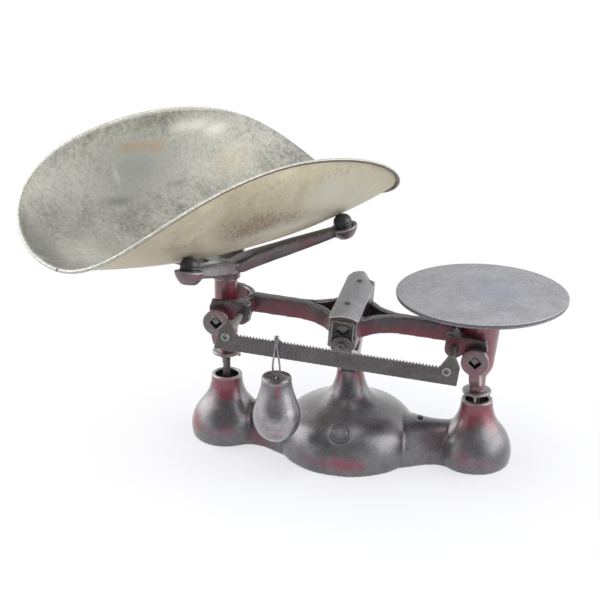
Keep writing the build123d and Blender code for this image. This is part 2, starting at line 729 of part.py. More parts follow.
# ---- check lever inside the base ---------------------------------------------------------
lever_half = 5.0
fork_outer = 6.2
lever_low = -end_edge_drop - 3.5
lever_high = -end_edge_drop + 3.5
fork_reach = 16.0
lever_upright = Plane(
    origin=(0, 0, check_pivot_height), x_dir=(cos(tilt), 0, -sin(tilt)), z_dir=(0, -1, 0)
)


def lever_face(y):
    """Front-facing plane of the check lever at a given Y."""
    return lever_upright.offset(-y)


with BuildPart() as check_lever:
    with BuildSketch(lever_face(lever_half)):
        with Locations((0, -end_edge_drop)):
            Rectangle(2 * (arm_length - fork_reach + 4), lever_high - lever_low)
        Circle(8.5)
    extrude(amount=2 * lever_half)
    for near, far in both_sides(eye_half + running_gap, fork_outer):
        with BuildSketch(lever_face(far)):
            for side in (-1, 1):
                with Locations((side * (arm_length - fork_reach / 2), -end_edge_drop)):
                    Rectangle(fork_reach, lever_high - lever_low)
                with Locations((side * arm_length, -end_edge_drop)):
                    Circle(5.5)
        extrude(amount=far - near)
    with BuildSketch(lever_face(fork_outer)):
        for side in (-1, 1):
            with Locations((side * (arm_length - fork_reach + 2), -end_edge_drop)):
                Rectangle(8, lever_high - lever_low)
    extrude(amount=2 * fork_outer)
    with BuildSketch(lever_face(20)):
        Circle(check_pin_radius + shaft_gap)
        for side in (-1, 1):
            with Locations((side * arm_length, -end_edge_drop)):
                Circle(check_pin_radius)
    extrude(amount=40, mode=Mode.SUBTRACT)
check_lever.part.label = "check_lever"
export_step(check_lever.part, "parts/check_lever.step")

with BuildPart() as check_lever_pin:
    with BuildSketch(upright_at(0, check_pivot_height, 13)):
        Circle(check_pin_radius)
    extrude(amount=26)
check_lever_pin.part.label = "check_lever_pin"
export_step(check_lever_pin.part, "parts/check_lever_pin.step")

with BuildPart() as check_rod_pins:
    with BuildSketch(lever_face(fork_outer)):
        for side in (-1, 1):
            with Locations((side * arm_length, -end_edge_drop)):
                Circle(check_pin_radius)
    extrude(amount=2 * fork_outer)
check_rod_pins.part.label = "check_rod_pins"
export_step(check_rod_pins.part, "parts/check_rod_pins.step")

# ---- spider, its bumpers and the scoop ---------------------------------------------------
post_top = left_edge_z + post_rise
scoop_bottom = post_top + scoop_rise
trough_axis_z = scoop_bottom + scoop_bend
sag_axis_z = scoop_bottom + scoop_sag
spider_arms = [scoop_turn + spider_spread, scoop_turn - spider_spread]
spider_arms = spider_arms + [angle + 180 for angle in spider_arms]
# each bumper's ball touches the dished trough from below
ball_side = spider_reach * sin(radians(spider_spread))
ball_along = spider_reach * cos(radians(spider_spread))
ball_reach = scoop_bend + bumper_radius + running_gap
ball_swing = scoop_sag - scoop_bend + sqrt(ball_reach ** 2 - ball_side ** 2)
ball_z = sag_axis_z - sqrt(ball_swing ** 2 - ball_along ** 2)
cup_rim = ball_z - cup_sink
arm_end = spider_reach - cup_foot_radius
bumper_floor = -cup_sink - cup_seat


def cup_frame(angle):
    """Plane through the middle of a bumper: X away from the hub, Y up the cup's leaning axis."""
    a, lean = radians(angle), radians(cup_lean)
    return Plane(
        origin=(left_edge_x + spider_reach * cos(a), spider_reach * sin(a), ball_z),
        x_dir=(cos(a) * cos(lean), sin(a) * cos(lean), sin(lean)),
        z_dir=(sin(a), -cos(a), 0),
    )


with BuildPart() as scoop_spider:
    with BuildSketch(Plane.XY.offset(post_top + running_gap)):
        with Locations((left_edge_x, 0)):
            Circle(spider_hub_radius)
    extrude(amount=spider_hub_height)
    for angle in spider_arms:
        heading = Plane(
            origin=(left_edge_x, 0, 0),
            x_dir=(cos(radians(angle)), sin(radians(angle)), 0),
            z_dir=(sin(radians(angle)), -cos(radians(angle)), 0),
        )
        with BuildSketch(heading.offset(-arm_half)):
            with BuildLine():
                low = Spline((10, post_top + 9), (34, post_top + 14.5), (arm_end, cup_rim - 12))
                far_side = Line(low @ 1, (arm_end, cup_rim - 2))
                high = Spline(far_side @ 1, (34, post_top + 26), (10, post_top + spider_hub_height))
                Line(high @ 1, low @ 0)
            make_face()
        extrude(amount=2 * arm_half)
        cup = cup_frame(angle)
        with BuildSketch(cup):
            with BuildLine():
                bowl = Spline((cup_foot_radius, -cup_sink - cup_depth),
                              (cup_radius - 2.2, -cup_sink - cup_depth / 2),
                              (cup_radius, -cup_sink - 2))
                Polyline(bowl @ 1, (cup_radius, -cup_sink), (0, -cup_sink),
                         (0, -cup_sink - cup_depth), bowl @ 0)
            make_face()
        revolve(axis=Axis(cup.origin, cup.y_dir))
        with BuildSketch(Plane(origin=cup.from_local_coords((0, bumper_floor)), z_dir=cup.y_dir)):
            Circle(bumper_radius)
        extrude(amount=3 * cup_seat, mode=Mode.SUBTRACT)
    # blind socket that turns on the post's spigot
    with BuildSketch(Plane.XY.offset(post_top)):
        with Locations((left_edge_x, 0)):
            Circle(spigot_radius + shaft_gap)
    extrude(amount=spigot_height + 1, mode=Mode.SUBTRACT)
scoop_spider.part.label = "scoop_spider"
export_step(scoop_spider.part, "parts/scoop_spider.step")

with BuildPart() as spider_bumpers:
    for angle in spider_arms:
        cup = cup_frame(angle)
        with BuildSketch(cup):
            with BuildLine():
                dome = CenterArc((0, 0), bumper_radius, 0, 90)
                Polyline(dome @ 1, (0, bumper_floor), (bumper_radius, bumper_floor), dome @ 0)
            make_face()
        revolve(axis=Axis(cup.origin, cup.y_dir))
spider_bumpers.part.label = "spider_bumpers"
export_step(spider_bumpers.part, "parts/spider_bumpers.step")

turn = radians(scoop_turn)
middle_radius = scoop_bend - scoop_sheet / 2


def edge_place(t):
    """Point t of the scoop's oval edge: distance along, distance across, height and slope."""
    c, s = cos(t), sin(t)
    along = copysign(scoop_half_length * abs(c) ** edge_power_along, c) + scoop_slip_along
    flat = copysign(scoop_half_arc * abs(s) ** edge_power_across, s) + scoop_slip_around
    around = flat / scoop_bend
    swing = scoop_sag - scoop_bend + middle_radius * cos(around)
    height = sag_axis_z - sqrt(swing ** 2 - along ** 2)
    return along, middle_radius * sin(around), height, abs(degrees(around))


# the trough's own frame: X along it, Y across it, Z up
trough = Plane(origin=(left_edge_x, 0, 0), x_dir=(cos(turn), sin(turn), 0), z_dir=(0, 0, 1))
trough_section = Plane(
    origin=(left_edge_x, 0, 0), x_dir=(-sin(turn), cos(turn), 0), z_dir=(cos(turn), sin(turn), 0)
)
trough_side = Plane(
    origin=(left_edge_x, 0, 0), x_dir=(cos(turn), sin(turn), 0), z_dir=(sin(turn), -cos(turn), 0)
)
sag_axis = Axis((left_edge_x, 0, sag_axis_z), (-sin(turn), cos(turn), 0))


def edge_run(first, low, high):
    """Edge points over half a turn from the first, where the sheet's slope lies in the range."""
    places = [edge_place(first + pi * i / 120) for i in range(121)]
    return [place for place in places if low <= place[3] <= high]


far_run = edge_run(-pi / 2, 0, 58)
near_run = edge_run(pi / 2, 0, 58)
clear_of = scoop_bend + 20
above = trough_axis_z + 1.2 * scoop_bend
with BuildPart() as scoop_blank:
    # dished trough
    for reach in (15.5, -15.5):
        with BuildSketch(trough_section):
            with Locations((0, trough_axis_z)):
                Circle(scoop_bend)
                Circle(scoop_bend - scoop_sheet, mode=Mode.SUBTRACT)
            with Locations((0, trough_axis_z + 22)):
                Rectangle(3 * scoop_bend, 2 * scoop_bend, align=(Align.CENTER, Align.MIN),
                          mode=Mode.SUBTRACT)
        revolve(axis=sag_axis, revolution_arc=reach)
    # its two ends, cut to the oval from above
    with BuildSketch(trough.offset(scoop_bottom - 5)):
        with BuildLine():
            far_curve = Spline(*[(p[0], p[1]) for p in far_run])
            near_curve = Spline(*[(p[0], p[1]) for p in near_run])
            Polyline(far_curve @ 1, ((far_curve @ 1).X, clear_of), ((near_curve @ 0).X, clear_of),
                     near_curve @ 0)
            Polyline(near_curve @ 1, ((near_curve @ 1).X, -clear_of),
                     ((far_curve @ 0).X, -clear_of), far_curve @ 0)
        make_face()
    extrude(amount=above - scoop_bottom, mode=Mode.INTERSECT)
    # its two steep sides, cut to the oval from the side
    for first, start in ((0, -clear_of), (pi, 0)):
        side_run = edge_run(first, 50, 180)
        with BuildSketch(trough_side.offset(start)):
            with BuildLine():
                rim_curve = Spline(*[(p[0], p[2]) for p in side_run])
                Polyline(rim_curve @ 1, ((rim_curve @ 1).X, above), ((rim_curve @ 0).X, above),
                         rim_curve @ 0)
            make_face()
        extrude(amount=clear_of, mode=Mode.SUBTRACT)

# the sheet below the cuts is the scoop; the strips above them fall away
with BuildPart() as scoop:
    add(scoop_blank.part.solids().sort_by(Axis.Z)[0])
scoop.part.label = "scoop"
export_step(scoop.part, "parts/scoop.step")

# ---- weight plate ------------------------------------------------------------------------
plate_top = right_edge_z + plate_top_rise
plate_base = plate_top - plate_thickness
cone_top = right_edge_z + cone_rise
with BuildPart() as weight_plate:
    with BuildSketch(Plane.XY.offset(plate_base)):
        with Locations((right_edge_x, 0)):
            Circle(plate_radius)
    extrude(amount=plate_thickness)
    rims = weight_plate.edges().filter_by(GeomType.CIRCLE)
    fillet(rims, 2.0)
    with BuildSketch(Plane.XY.offset(cone_top + running_gap)):
        with Locations((right_edge_x, 0)):
            Circle(cone_radius + 0.5)
    extrude(amount=plate_base - cone_top)
    with BuildSketch(Plane.XY.offset(cone_top)):
        with Locations((right_edge_x, 0)):
            Circle(spigot_radius + shaft_gap)
    extrude(amount=spigot_height + 0.6, mode=Mode.SUBTRACT)
weight_plate.part.label = "weight_plate"
export_step(weight_plate.part, "parts/weight_plate.step")

# ---- poise -------------------------------------------------------------------------------
notch_x, notch_z = beam_point(first_notch + poise_notch * notch_pitch, bar_top)
poise_top = notch_z - poise_drop
eye_z = poise_top - 2.0
# wire link: a closed hairpin in front of the bar whose narrow head is bent back over the teeth;
# its foot passes under the poise's staple
foot_half = 3.0
head_half = 1.3
hook_rise = 4.8               # middle of the wire's bend above the bar's teeth
hook_half = bar_thickness / 2 + 1.15 * running_gap + wire_radius


def link_place(across, behind, rise):
    """Place on the link: across along X, behind the bar's middle, above the bar's teeth."""
    return notch_x + across, bar_middle + behind, notch_z + rise


with BuildPart() as poise_loop:
    with BuildLine():
        Spline(link_place(0, -0.6, eye_z - notch_z),
               link_place(foot_half, -0.9, eye_z - notch_z + foot_half),
               link_place(3.2, -hook_half - 0.2, bar_bottom - bar_top - 2),
               link_place(1.6, -hook_half, -11),
               link_place(head_half, -hook_half, 0),
               link_place(head_half, 0, hook_rise),
               link_place(head_half, hook_half, 0),
               link_place(0, hook_half, -4),
               tangents=((1, 0, 0), (-1, 0, 0)))
    with BuildSketch(Plane(origin=link_place(0, -0.6, eye_z - notch_z), z_dir=(1, 0, 0))):
        Circle(wire_radius)
    sweep()
    mirror(about=Plane(origin=(notch_x, 0, 0), z_dir=(1, 0, 0)))
poise_loop.part.label = "poise_loop"
export_step(poise_loop.part, "parts/poise_loop.step")

# staple in the poise's top; the link's foot passes under its crown
staple_half = 4.0
staple_crown = eye_z + 2 * wire_radius + running_gap
dish_depth = 6.0
dish_floor = poise_top - dish_depth
bore_radius = 9.0             # the poise is cored from below
bore_depth = 50.0
with BuildPart() as poise_staple:
    with BuildLine(Plane(origin=(notch_x, bar_middle, 0), x_dir=(0, 1, 0), z_dir=(1, 0, 0))):
        leg = Line((-staple_half, dish_floor - 6), (-staple_half, staple_crown - staple_half))
        crown = ThreePointArc(leg @ 1, (0, staple_crown), (staple_half, staple_crown - staple_half))
        Line(crown @ 1, (staple_half, dish_floor - 6))
    with BuildSketch(Plane(origin=(notch_x, bar_middle - staple_half, dish_floor - 6),
                           z_dir=(0, 0, 1))):
        Circle(wire_radius)
    sweep()
poise_staple.part.label = "poise_staple"
export_step(poise_staple.part, "parts/poise_staple.step")

poise_line = [(16.6, 0), (17.0, -7), (18.8, -16), (22.5, -29), (26.2, -40), (poise_radius, -49),
              (25.6, -60), (20.0, -70), (12.0, -poise_height)]
with BuildPart() as poise_body:
    with BuildSketch(upright_at(notch_x, poise_top, bar_middle)):
        with BuildLine():
            Spline(*poise_line)
            Polyline(poise_line[-1], (bore_radius, -poise_height),
                     (bore_radius, bore_depth - poise_height), (0, bore_depth - poise_height),
                     (0, -dish_depth), (10, -dish_depth), (14.5, 0), poise_line[0])
        make_face()
    revolve(axis=Axis((notch_x, bar_middle, 0), (0, 0, 1)))
    with BuildSketch(Plane.XY.offset(dish_floor - 6)):
        with Locations((notch_x, bar_middle - staple_half), (notch_x, bar_middle + staple_half)):
            Circle(wire_radius)
    extrude(amount=20, mode=Mode.SUBTRACT)
poise_body.part.label = "poise_body"
export_step(poise_body.part, "parts/poise_body.step")
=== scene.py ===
# %% [markdown]
# # A cast-iron counter scale
# The real object is an even-balance scale: a hollow iron base, a beam that tilts on a hard steel
# edge, a sheet scoop on the left, a round iron plate on the right and a notched bar with a hanging
# poise in front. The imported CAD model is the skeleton. This script keeps its small hidden parts,
# gives the castings soft edges and old paint, and remakes the turned and sheet parts as smooth
# surfaces worked out with numpy.

import json
from math import cos, pi, radians, sin, sqrt

import bmesh
import bpy
import numpy as np
from mathutils import Matrix, Vector


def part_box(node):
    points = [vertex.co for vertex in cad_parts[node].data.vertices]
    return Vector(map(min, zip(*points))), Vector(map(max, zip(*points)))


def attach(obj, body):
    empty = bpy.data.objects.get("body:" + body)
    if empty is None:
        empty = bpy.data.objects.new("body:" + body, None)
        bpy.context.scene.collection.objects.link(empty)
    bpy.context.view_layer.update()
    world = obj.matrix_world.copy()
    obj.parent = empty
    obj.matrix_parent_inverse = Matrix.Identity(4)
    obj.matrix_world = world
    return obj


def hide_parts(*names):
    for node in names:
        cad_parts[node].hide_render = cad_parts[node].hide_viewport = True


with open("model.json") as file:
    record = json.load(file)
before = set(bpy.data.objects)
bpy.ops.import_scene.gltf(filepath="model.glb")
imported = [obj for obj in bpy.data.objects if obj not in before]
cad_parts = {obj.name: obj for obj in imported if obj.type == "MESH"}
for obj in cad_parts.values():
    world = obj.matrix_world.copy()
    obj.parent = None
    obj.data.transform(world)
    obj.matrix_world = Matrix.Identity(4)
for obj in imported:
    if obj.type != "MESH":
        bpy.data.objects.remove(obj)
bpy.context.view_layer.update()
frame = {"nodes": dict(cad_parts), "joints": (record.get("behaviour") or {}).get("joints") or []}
MM = 0.001
UP = np.array((0.0, 0.0, 1.0))

# %% [markdown]
# ## Places taken from the frame
# Every pivot of the scale is a joint of the CAD model, so the new pieces find their places from
# the joints and from the boxes of the nodes they stand for. Sizes of pieces are typed in millimetres
# and turned to metres where a mesh is made; the scoop's formula is in metres.

# %% Pivots and the tilted beam
pivot = {j["name"]: np.array(j["pos_m"]) for j in frame["joints"] if "pos_m" in j}
fulcrum = pivot["beam_tilt"]
left_edge = pivot["left_hanger_level"]
right_edge = pivot["right_hanger_level"]
span = right_edge - left_edge
rest_tilt = np.arctan2(-span[2], span[0])


def on_beam(u, y, w):
    """Place u along the beam, y to the back and w above the fulcrum edge (mm), with the beam at rest.

    x = u cos tilt + w sin tilt and z = fulcrum - u sin tilt + w cos tilt.
    """
    x = u * cos(rest_tilt) + w * sin(rest_tilt)
    z = -u * sin(rest_tilt) + w * cos(rest_tilt)
    return fulcrum + MM * np.stack(np.broadcast_arrays(x, y, z), axis=-1)


def beside(edge):
    """The same, for a piece that stays upright beside an end edge."""
    def place(u, y, w):
        return edge + MM * np.stack(np.broadcast_arrays(u, y, w), axis=-1)
    return place


print("beam hangs", round(float(np.degrees(rest_tilt)), 2), "degrees down at the plate side")

# %% [markdown]
# ## From a formula to a mesh
# A surface here is always a grid of points, worked out at once as an array. Neighbouring points are
# joined into four-sided faces, and points that fall together, at a pole or a seam, are merged so
# that the skin is closed.

# %% Grid to mesh


def unit(vectors):
    """Vectors scaled to length 1."""
    return vectors / np.linalg.norm(vectors, axis=-1, keepdims=True)


def all_round(steps):
    """Evenly spaced angles, once round."""
    return np.linspace(0, 2 * pi, steps, endpoint=False)


def grid_shell(points, wrap_rows=False, wrap_columns=True):
    """A grid of points (rows, columns, 3) as one list, with the four corners of each of its cells."""
    rows, columns, _ = points.shape
    r = np.arange(rows if wrap_rows else rows - 1)[:, None]
    c = np.arange(columns if wrap_columns else columns - 1)[None, :]
    next_r, next_c = (r + 1) % rows, (c + 1) % columns
    corners = (r * columns + c, next_r * columns + c, next_r * columns + next_c, r * columns + next_c)
    return points.reshape(-1, 3), np.stack(np.broadcast_arrays(*corners), axis=-1).reshape(-1, 4)


def new_object(name, data):
    """A new object in the scene."""
    made = bpy.data.objects.new(name, data)
    bpy.context.scene.collection.objects.link(made)
    return made


def shade(mesh, smooth):
    """Shade every face of a mesh smooth or flat."""
    mesh.polygons.foreach_set("use_smooth", np.full(len(mesh.polygons), smooth))
    mesh.update()


def mesh_piece(name, *shells):
    """A new smooth object from shells of points (n by 3) and four-sided faces (m by 4).

    Points that fall together are merged and every face is turned outward.
    """
    merge_reach, thin_reach = 1e-6, 1e-7
    starts = np.cumsum([0] + [len(points) for points, _ in shells])
    points = np.concatenate([points for points, _ in shells])
    quads = np.concatenate([quads + start for (_, quads), start in zip(shells, starts)])
    mesh = bpy.data.meshes.new(name)
    mesh.vertices.add(len(points))
    mesh.vertices.foreach_set("co", points.astype(np.float32).ravel())
    mesh.loops.add(quads.size)
    mesh.loops.foreach_set("vertex_index", quads.astype(np.int32).ravel())
    mesh.polygons.add(len(quads))
    mesh.polygons.foreach_set("loop_start", np.arange(0, quads.size, 4, dtype=np.int32))
    mesh.update(calc_edges=True)
    work = bmesh.new()
    work.from_mesh(mesh)
    bmesh.ops.remove_doubles(work, verts=work.verts, dist=merge_reach)
    bmesh.ops.dissolve_degenerate(work, edges=work.edges, dist=thin_reach)
    bmesh.ops.recalc_face_normals(work, faces=work.faces)
    work.to_mesh(mesh)
    work.free()
    shade(mesh, True)
    return new_object(name, mesh)


print("grid helpers ready")

# %% [markdown]
# Five kinds of shell make nearly everything: a lathe shell (an outline carried round an axis), a
# pierced plate (a profile carried between two closed outlines), a closed sheet (two grids that face
# each other), a tube (a circle carried along a path) and a lofted bar (a rounded rectangle whose
# width and height change along a line).

# %% Outlines and lathe shells


def rounded(outline, radius, steps=5):
    """An outline with each inner corner replaced by a quadratic curve that leaves it by the radius.

    Start, corner and end of the curve are weighted (1-t)^2, 2t(1-t) and t^2.
    """
    outline = np.array(outline, float)
    made = [outline[0]]
    t = np.linspace(0, 1, steps)[:, None]
    for before, corner, after in zip(outline[:-2], outline[1:-1], outline[2:]):
        a, b = before - corner, after - corner
        reach = min(radius, 0.45 * np.linalg.norm(a), 0.45 * np.linalg.norm(b))
        start, end = corner + unit(a) * reach, corner + unit(b) * reach
        made.extend((1 - t) ** 2 * start + 2 * t * (1 - t) * corner + t ** 2 * end)
    made.append(outline[-1])
    return np.array(made)


def lathe(outline, centre, axis, segments):
    """Outline points (radius, height) in millimetres carried round the axis at the centre.

    Point = centre + height * axis + radius * (cos a * side + sin a * other), for angles a all round.
    """
    axis = unit(np.array(axis, float))
    side = unit(np.cross(axis, (0.0, 1.0, 0.0) if abs(axis[1]) < 0.9 else (1.0, 0.0, 0.0)))
    angle = all_round(segments)
    ring = np.cos(angle)[:, None] * side + np.sin(angle)[:, None] * np.cross(axis, side)
    radius, height = (np.array(outline, float) * MM).T[:, :, None, None]
    return grid_shell(radius * ring + height * axis + np.array(centre))


# %% Pierced plates, sheets, tubes and bars


def pierced_pair(name, inner, outer, profile, place):
    """Two plates with a hole, front and rear: a closed profile carried between two closed outlines.

    Each profile entry is (0 for inner or 1 for outer, inset, depth, edge wear). The point lies on that
    outline, moved by the inset straight towards the other one; place turns (u, depth, w) into metres.
    """
    way = unit(outer - inner)
    flat = np.array([outer - inset * way if side else inner + inset * way for side, inset, _, _ in profile])
    depth, wear = np.array(profile)[:, 2:].T
    piece = mesh_piece(name, *(grid_shell(place(flat[:, :, 0], side * depth[:, None], flat[:, :, 1]), True)
                               for side in (-1, 1)))
    store(piece, "edge", np.tile(np.repeat(wear, len(inner)), 2))
    return piece


def sheet(top, bottom):
    """Closed sheet from two grids of points that face each other, with a strip of faces round its rim."""
    rows, columns, _ = top.shape
    size = rows * columns
    walk = np.concatenate((np.arange(columns), np.arange(2 * columns - 1, size, columns),
                           np.arange(size - 2, size - columns - 1, -1),
                           np.arange(size - 2 * columns, 0, -columns)))
    after = np.roll(walk, -1)
    rim = np.stack((walk, after, after + size, walk + size), axis=-1)
    points, quads = grid_shell(top, wrap_columns=False)
    return np.concatenate((points, bottom.reshape(-1, 3))), np.concatenate((quads, quads[:, ::-1] + size, rim))


def capped(rings, middle):
    """Shell of equal rings of points, closed by a last ring at each end that is drawn to one point."""
    ends = [np.broadcast_to(middle[i], (1, *rings.shape[1:])) for i in (0, -1)]
    return grid_shell(np.concatenate((ends[0], rings, ends[1])))


def tube(path, radius, sides):
    """Round wire: a circle carried along a path of points in metres, closed at both ends.

    The circle's two directions are square to the path, the first as near as can be to the last one.
    """
    forward = unit(np.gradient(path, axis=0))
    first = np.cross(forward[0], (0.3, 0.5, 0.8))
    across = np.empty_like(path)
    for i, ahead in enumerate(forward):
        first = unit(first - ahead * (first @ ahead))
        across[i] = first
    angle = all_round(sides)[None, :, None]
    ring = np.cos(angle) * across[:, None] + np.sin(angle) * np.cross(forward, across)[:, None]
    return capped(path[:, None] + radius * MM * ring, path)


def bar_shell(middle, across, half_width, low, high):
    """Lofted bar: a rounded rectangle carried along middle points (n by 3, metres, at height 0).

    The section is |a|^p + |b|^p = 1 with p = 2 / corner, scaled to the half width and the heights.
    """
    angle, corner = all_round(28), 0.35
    a = np.sign(np.cos(angle)) * np.abs(np.cos(angle)) ** corner
    b = np.sign(np.sin(angle)) * np.abs(np.sin(angle)) ** corner
    mid, half = (high + low) / 2, (high - low) / 2
    rings = middle[:, None] + (half_width[:, None] * a)[:, :, None] * across * MM
    rings = rings + (mid[:, None] + half[:, None] * b)[:, :, None] * UP * MM
    return capped(rings, middle + mid[:, None] * UP * MM)


print("shell helpers ready")

# %% [markdown]
# ## Marks that wear leaves
# Paint goes first from corners and from faces that hands and weights rub, and lasts in hollows.
# Each mesh therefore gets values per point: how sharp the edge is there, how deep the hollow, and
# how much paint is left. The materials read these values by name.

# %% Wear and paint values on a mesh


def relax(points, edges, share):
    """Move each point towards the mean of its neighbours by the share."""
    both = np.concatenate((edges, edges[:, ::-1]))
    count = np.bincount(both[:, 0], minlength=len(points))
    total = np.stack([np.bincount(both[:, 0], points[both[:, 1], k], len(points)) for k in range(3)], axis=1)
    return points + share * (total / np.maximum(count, 1)[:, None] - points)


def mesh_arrays(mesh):
    """Points, normals and edges of a mesh as arrays."""
    arrays = []
    for items, key, kind, width in ((mesh.vertices, "co", np.float32, 3),
                                    (mesh.vertex_normals, "vector", np.float32, 3),
                                    (mesh.edges, "vertices", np.int32, 2)):
        values = np.empty(len(items) * width, dtype=kind)
        items.foreach_get(key, values)
        arrays.append(values.reshape(-1, width))
    return arrays[0].astype(float), arrays[1].astype(float), arrays[2]


def move_points(mesh, points):
    """Put the points of a mesh at new places."""
    mesh.vertices.foreach_set("co", points.astype(np.float32).ravel())
    mesh.update()


def store(piece, name, values):
    """Keep one number per point under a name that materials can read."""
    kept = piece.data.attributes.new(name, "FLOAT", "POINT")
    kept.data.foreach_set("value", np.ascontiguousarray(values, dtype=np.float32))


def spot_curve(points, x, y, z, reach, strength):
    """Bell curve of the given strength round a place, all in millimetres; reach may be three numbers."""
    distance = np.linalg.norm((points - np.array((x, y, z)) * MM) / (np.array(reach) * MM), axis=1)
    return strength * np.exp(-distance ** 2)


def mark_wear(piece, level, top_loss=0.6, edge_loss=0.5, spots=()):
    """Store edge, hollow and paint on a piece.

    edge and hollow = how far a point stands proud of the surface relaxed twice, or lies below the one
    relaxed eight times, over the distance that one point in a hundred passes.
    paint = level - top_loss * facing up squared - edge_loss * edge + 0.3 hollow + the spots' curves.
    """
    least, pull = 2e-5, 0.8
    points, normals, edges = mesh_arrays(piece.data)
    soft = relax(relax(points, edges, pull), edges, pull)
    proud = np.sum((points - soft) * normals, axis=1)
    for _ in range(6):
        soft = relax(soft, edges, pull)
    sunk = np.sum((soft - points) * normals, axis=1)
    edge, hollow = (np.clip(off / max(np.percentile(off, 99), least), 0, 1) for off in (proud, sunk))
    paint = level - top_loss * np.clip(normals[:, 2], 0, 1) ** 2 - edge_loss * edge + 0.3 * hollow
    for spot in spots:
        paint = paint + spot_curve(points, *spot)
    for name, values in (("edge", edge), ("hollow", hollow), ("paint", np.clip(paint, -0.5, 1.5))):
        store(piece, name, values)


print("wear values ready")

# %% [markdown]
# ## Castings from the CAD solids
# A sand casting has no sharp corner anywhere. So the CAD solid is copied, the Remesh modifier turns
# it into small even cells, and the points are relaxed: flat parts stay where they are and every edge
# and inner corner becomes a small round. A slow sum of sine waves then gives the faces the slight
# unevenness of a sand mould.

# %% Cast skin


def sand_waves(points, seed):
    """Sum of six sine waves in fixed random directions; about -1 to 1, one wave per 30 mm or so."""
    random = np.random.default_rng(seed)
    directions = unit(random.normal(size=(6, 3)))
    phases = random.uniform(0, 2 * pi, 6)
    lengths = random.uniform(0.6, 1.6, 6) * 30 * MM
    return np.sin(points @ directions.T * (2 * pi / lengths) + phases).sum(axis=1) / 3


def cast_skin(name, node, cell, soften, wave, seed, *extra):
    """Remeshed and relaxed copy of a CAD node with extra shells melted in.

    cell and wave are millimetres, soften counts the passes of relaxing.
    """
    merge_reach = 2e-6
    piece = new_object(name, frame["nodes"][node].data.copy())
    work = bmesh.new()
    work.from_mesh(piece.data)
    bmesh.ops.remove_doubles(work, verts=work.verts, dist=merge_reach)
    for shell in extra:
        added = mesh_piece("extra", shell)
        work.from_mesh(added.data)
        bpy.data.objects.remove(added)
    work.to_mesh(piece.data)
    work.free()
    cells = piece.modifiers.new("cells", "REMESH")
    cells.mode = "VOXEL"
    cells.voxel_size = cell * MM
    evaluated = piece.evaluated_get(bpy.context.evaluated_depsgraph_get())
    mesh = bpy.data.meshes.new_from_object(evaluated)
    piece.modifiers.clear()
    piece.data = mesh
    points, normals, edges = mesh_arrays(mesh)
    pull, push = 0.5, -0.42
    for _ in range(soften):
        points = relax(relax(points, edges, pull), edges, push)
    move_points(mesh, points + normals * (wave * MM * sand_waves(points, seed))[:, None])
    shade(mesh, True)
    print(name, "faces:", len(mesh.polygons))
    return piece


print("cast skin ready")

# %% [markdown]
# ## Shader node groups
# Four effects come back in several finishes: the grain of a casting, paint that survives in
# patches, edges rubbed bright, and the stains of old sheet metal. Each is built once as a node
# group with named inputs and outputs. Groups put out masks and heights only; every material keeps
# its own shader.

# %% Node helpers


def linear_colour(given):
    """Red, green and blue from 0 to 255 as the linear colour that shaders use; a node's output stays."""
    if isinstance(given, bpy.types.NodeSocket):
        return given
    shares = np.array(given) / 255
    linear = np.where(shares <= 0.04045, shares / 12.92, ((shares + 0.055) / 1.055) ** 2.4)
    return (*linear.tolist(), 1.0)


def fill(node, inputs):
    """Set a node's inputs to values or link them to other nodes' outputs."""
    for key, value in inputs.items():
        if isinstance(value, bpy.types.NodeSocket):
            node.id_data.links.new(value, node.inputs[key])
        else:
            node.inputs[key].default_value = value
    return node


def add(kind, inputs, tree=None, **settings):
    """A shader node in the given tree, or else in the tree of the outputs that it is linked to."""
    tree = tree or next(value.id_data for value in inputs.values() if isinstance(value, bpy.types.NodeSocket))
    node = tree.nodes.new("ShaderNode" + kind)
    for key, value in settings.items():
        setattr(node, key, value)
    return fill(node, inputs)


def maths(operation, *values):
    """One arithmetic step on up to three values."""
    return add("Math", dict(enumerate(values)), operation=operation).outputs[0]


def weighed(*pairs):
    """Sum of values, each times its weight."""
    total = 0.0
    for value, weight in pairs:
        total = maths("MULTIPLY_ADD", value, weight, total)
    return total


def ramp(value, low, high, start=0.0, end=1.0):
    """Smooth step of a value from start at low to end at high."""
    inputs = {"Value": value, "From Min": low, "From Max": high, "To Min": start, "To Max": end}
    return add("MapRange", inputs, interpolation_type="SMOOTHSTEP").outputs[0]


def blend(share, a, b):
    """Mix of two colours, each a node's output or red, green and blue from 0 to 255."""
    inputs = {0: share, 6: linear_colour(a), 7: linear_colour(b)}
    return add("Mix", inputs, data_type="RGBA").outputs[2]


def noise(place, scale, detail, roughness, twist=0.0):
    """Cloudy value, about 0.3 to 0.7, with scale cells to the metre."""
    inputs = {"Vector": place, "Scale": scale, "Detail": detail, "Roughness": roughness, "Distortion": twist}
    return add("TexNoise", inputs).outputs[0]


def stored(beside, name):
    """One of the numbers kept on the mesh, read in the tree of another output."""
    return add("Attribute", {}, beside.id_data, attribute_name=name).outputs["Fac"]


def tinted(body, *coats):
    """A colour with others laid over it in turn.

    Each coat is a mask, or the name of a number kept on the mesh, with its weight and its colour.
    """
    for mask, weight, over in coats:
        share = stored(body, mask) if isinstance(mask, str) else mask
        if weight != 1:
            share = maths("MULTIPLY", share, weight)
        body = blend(share, body, over)
    return body


def bump(height, strength, distance):
    """Normal that follows a height."""
    inputs = {"Height": height, "Strength": strength, "Distance": distance}
    return add("Bump", inputs).outputs[0]


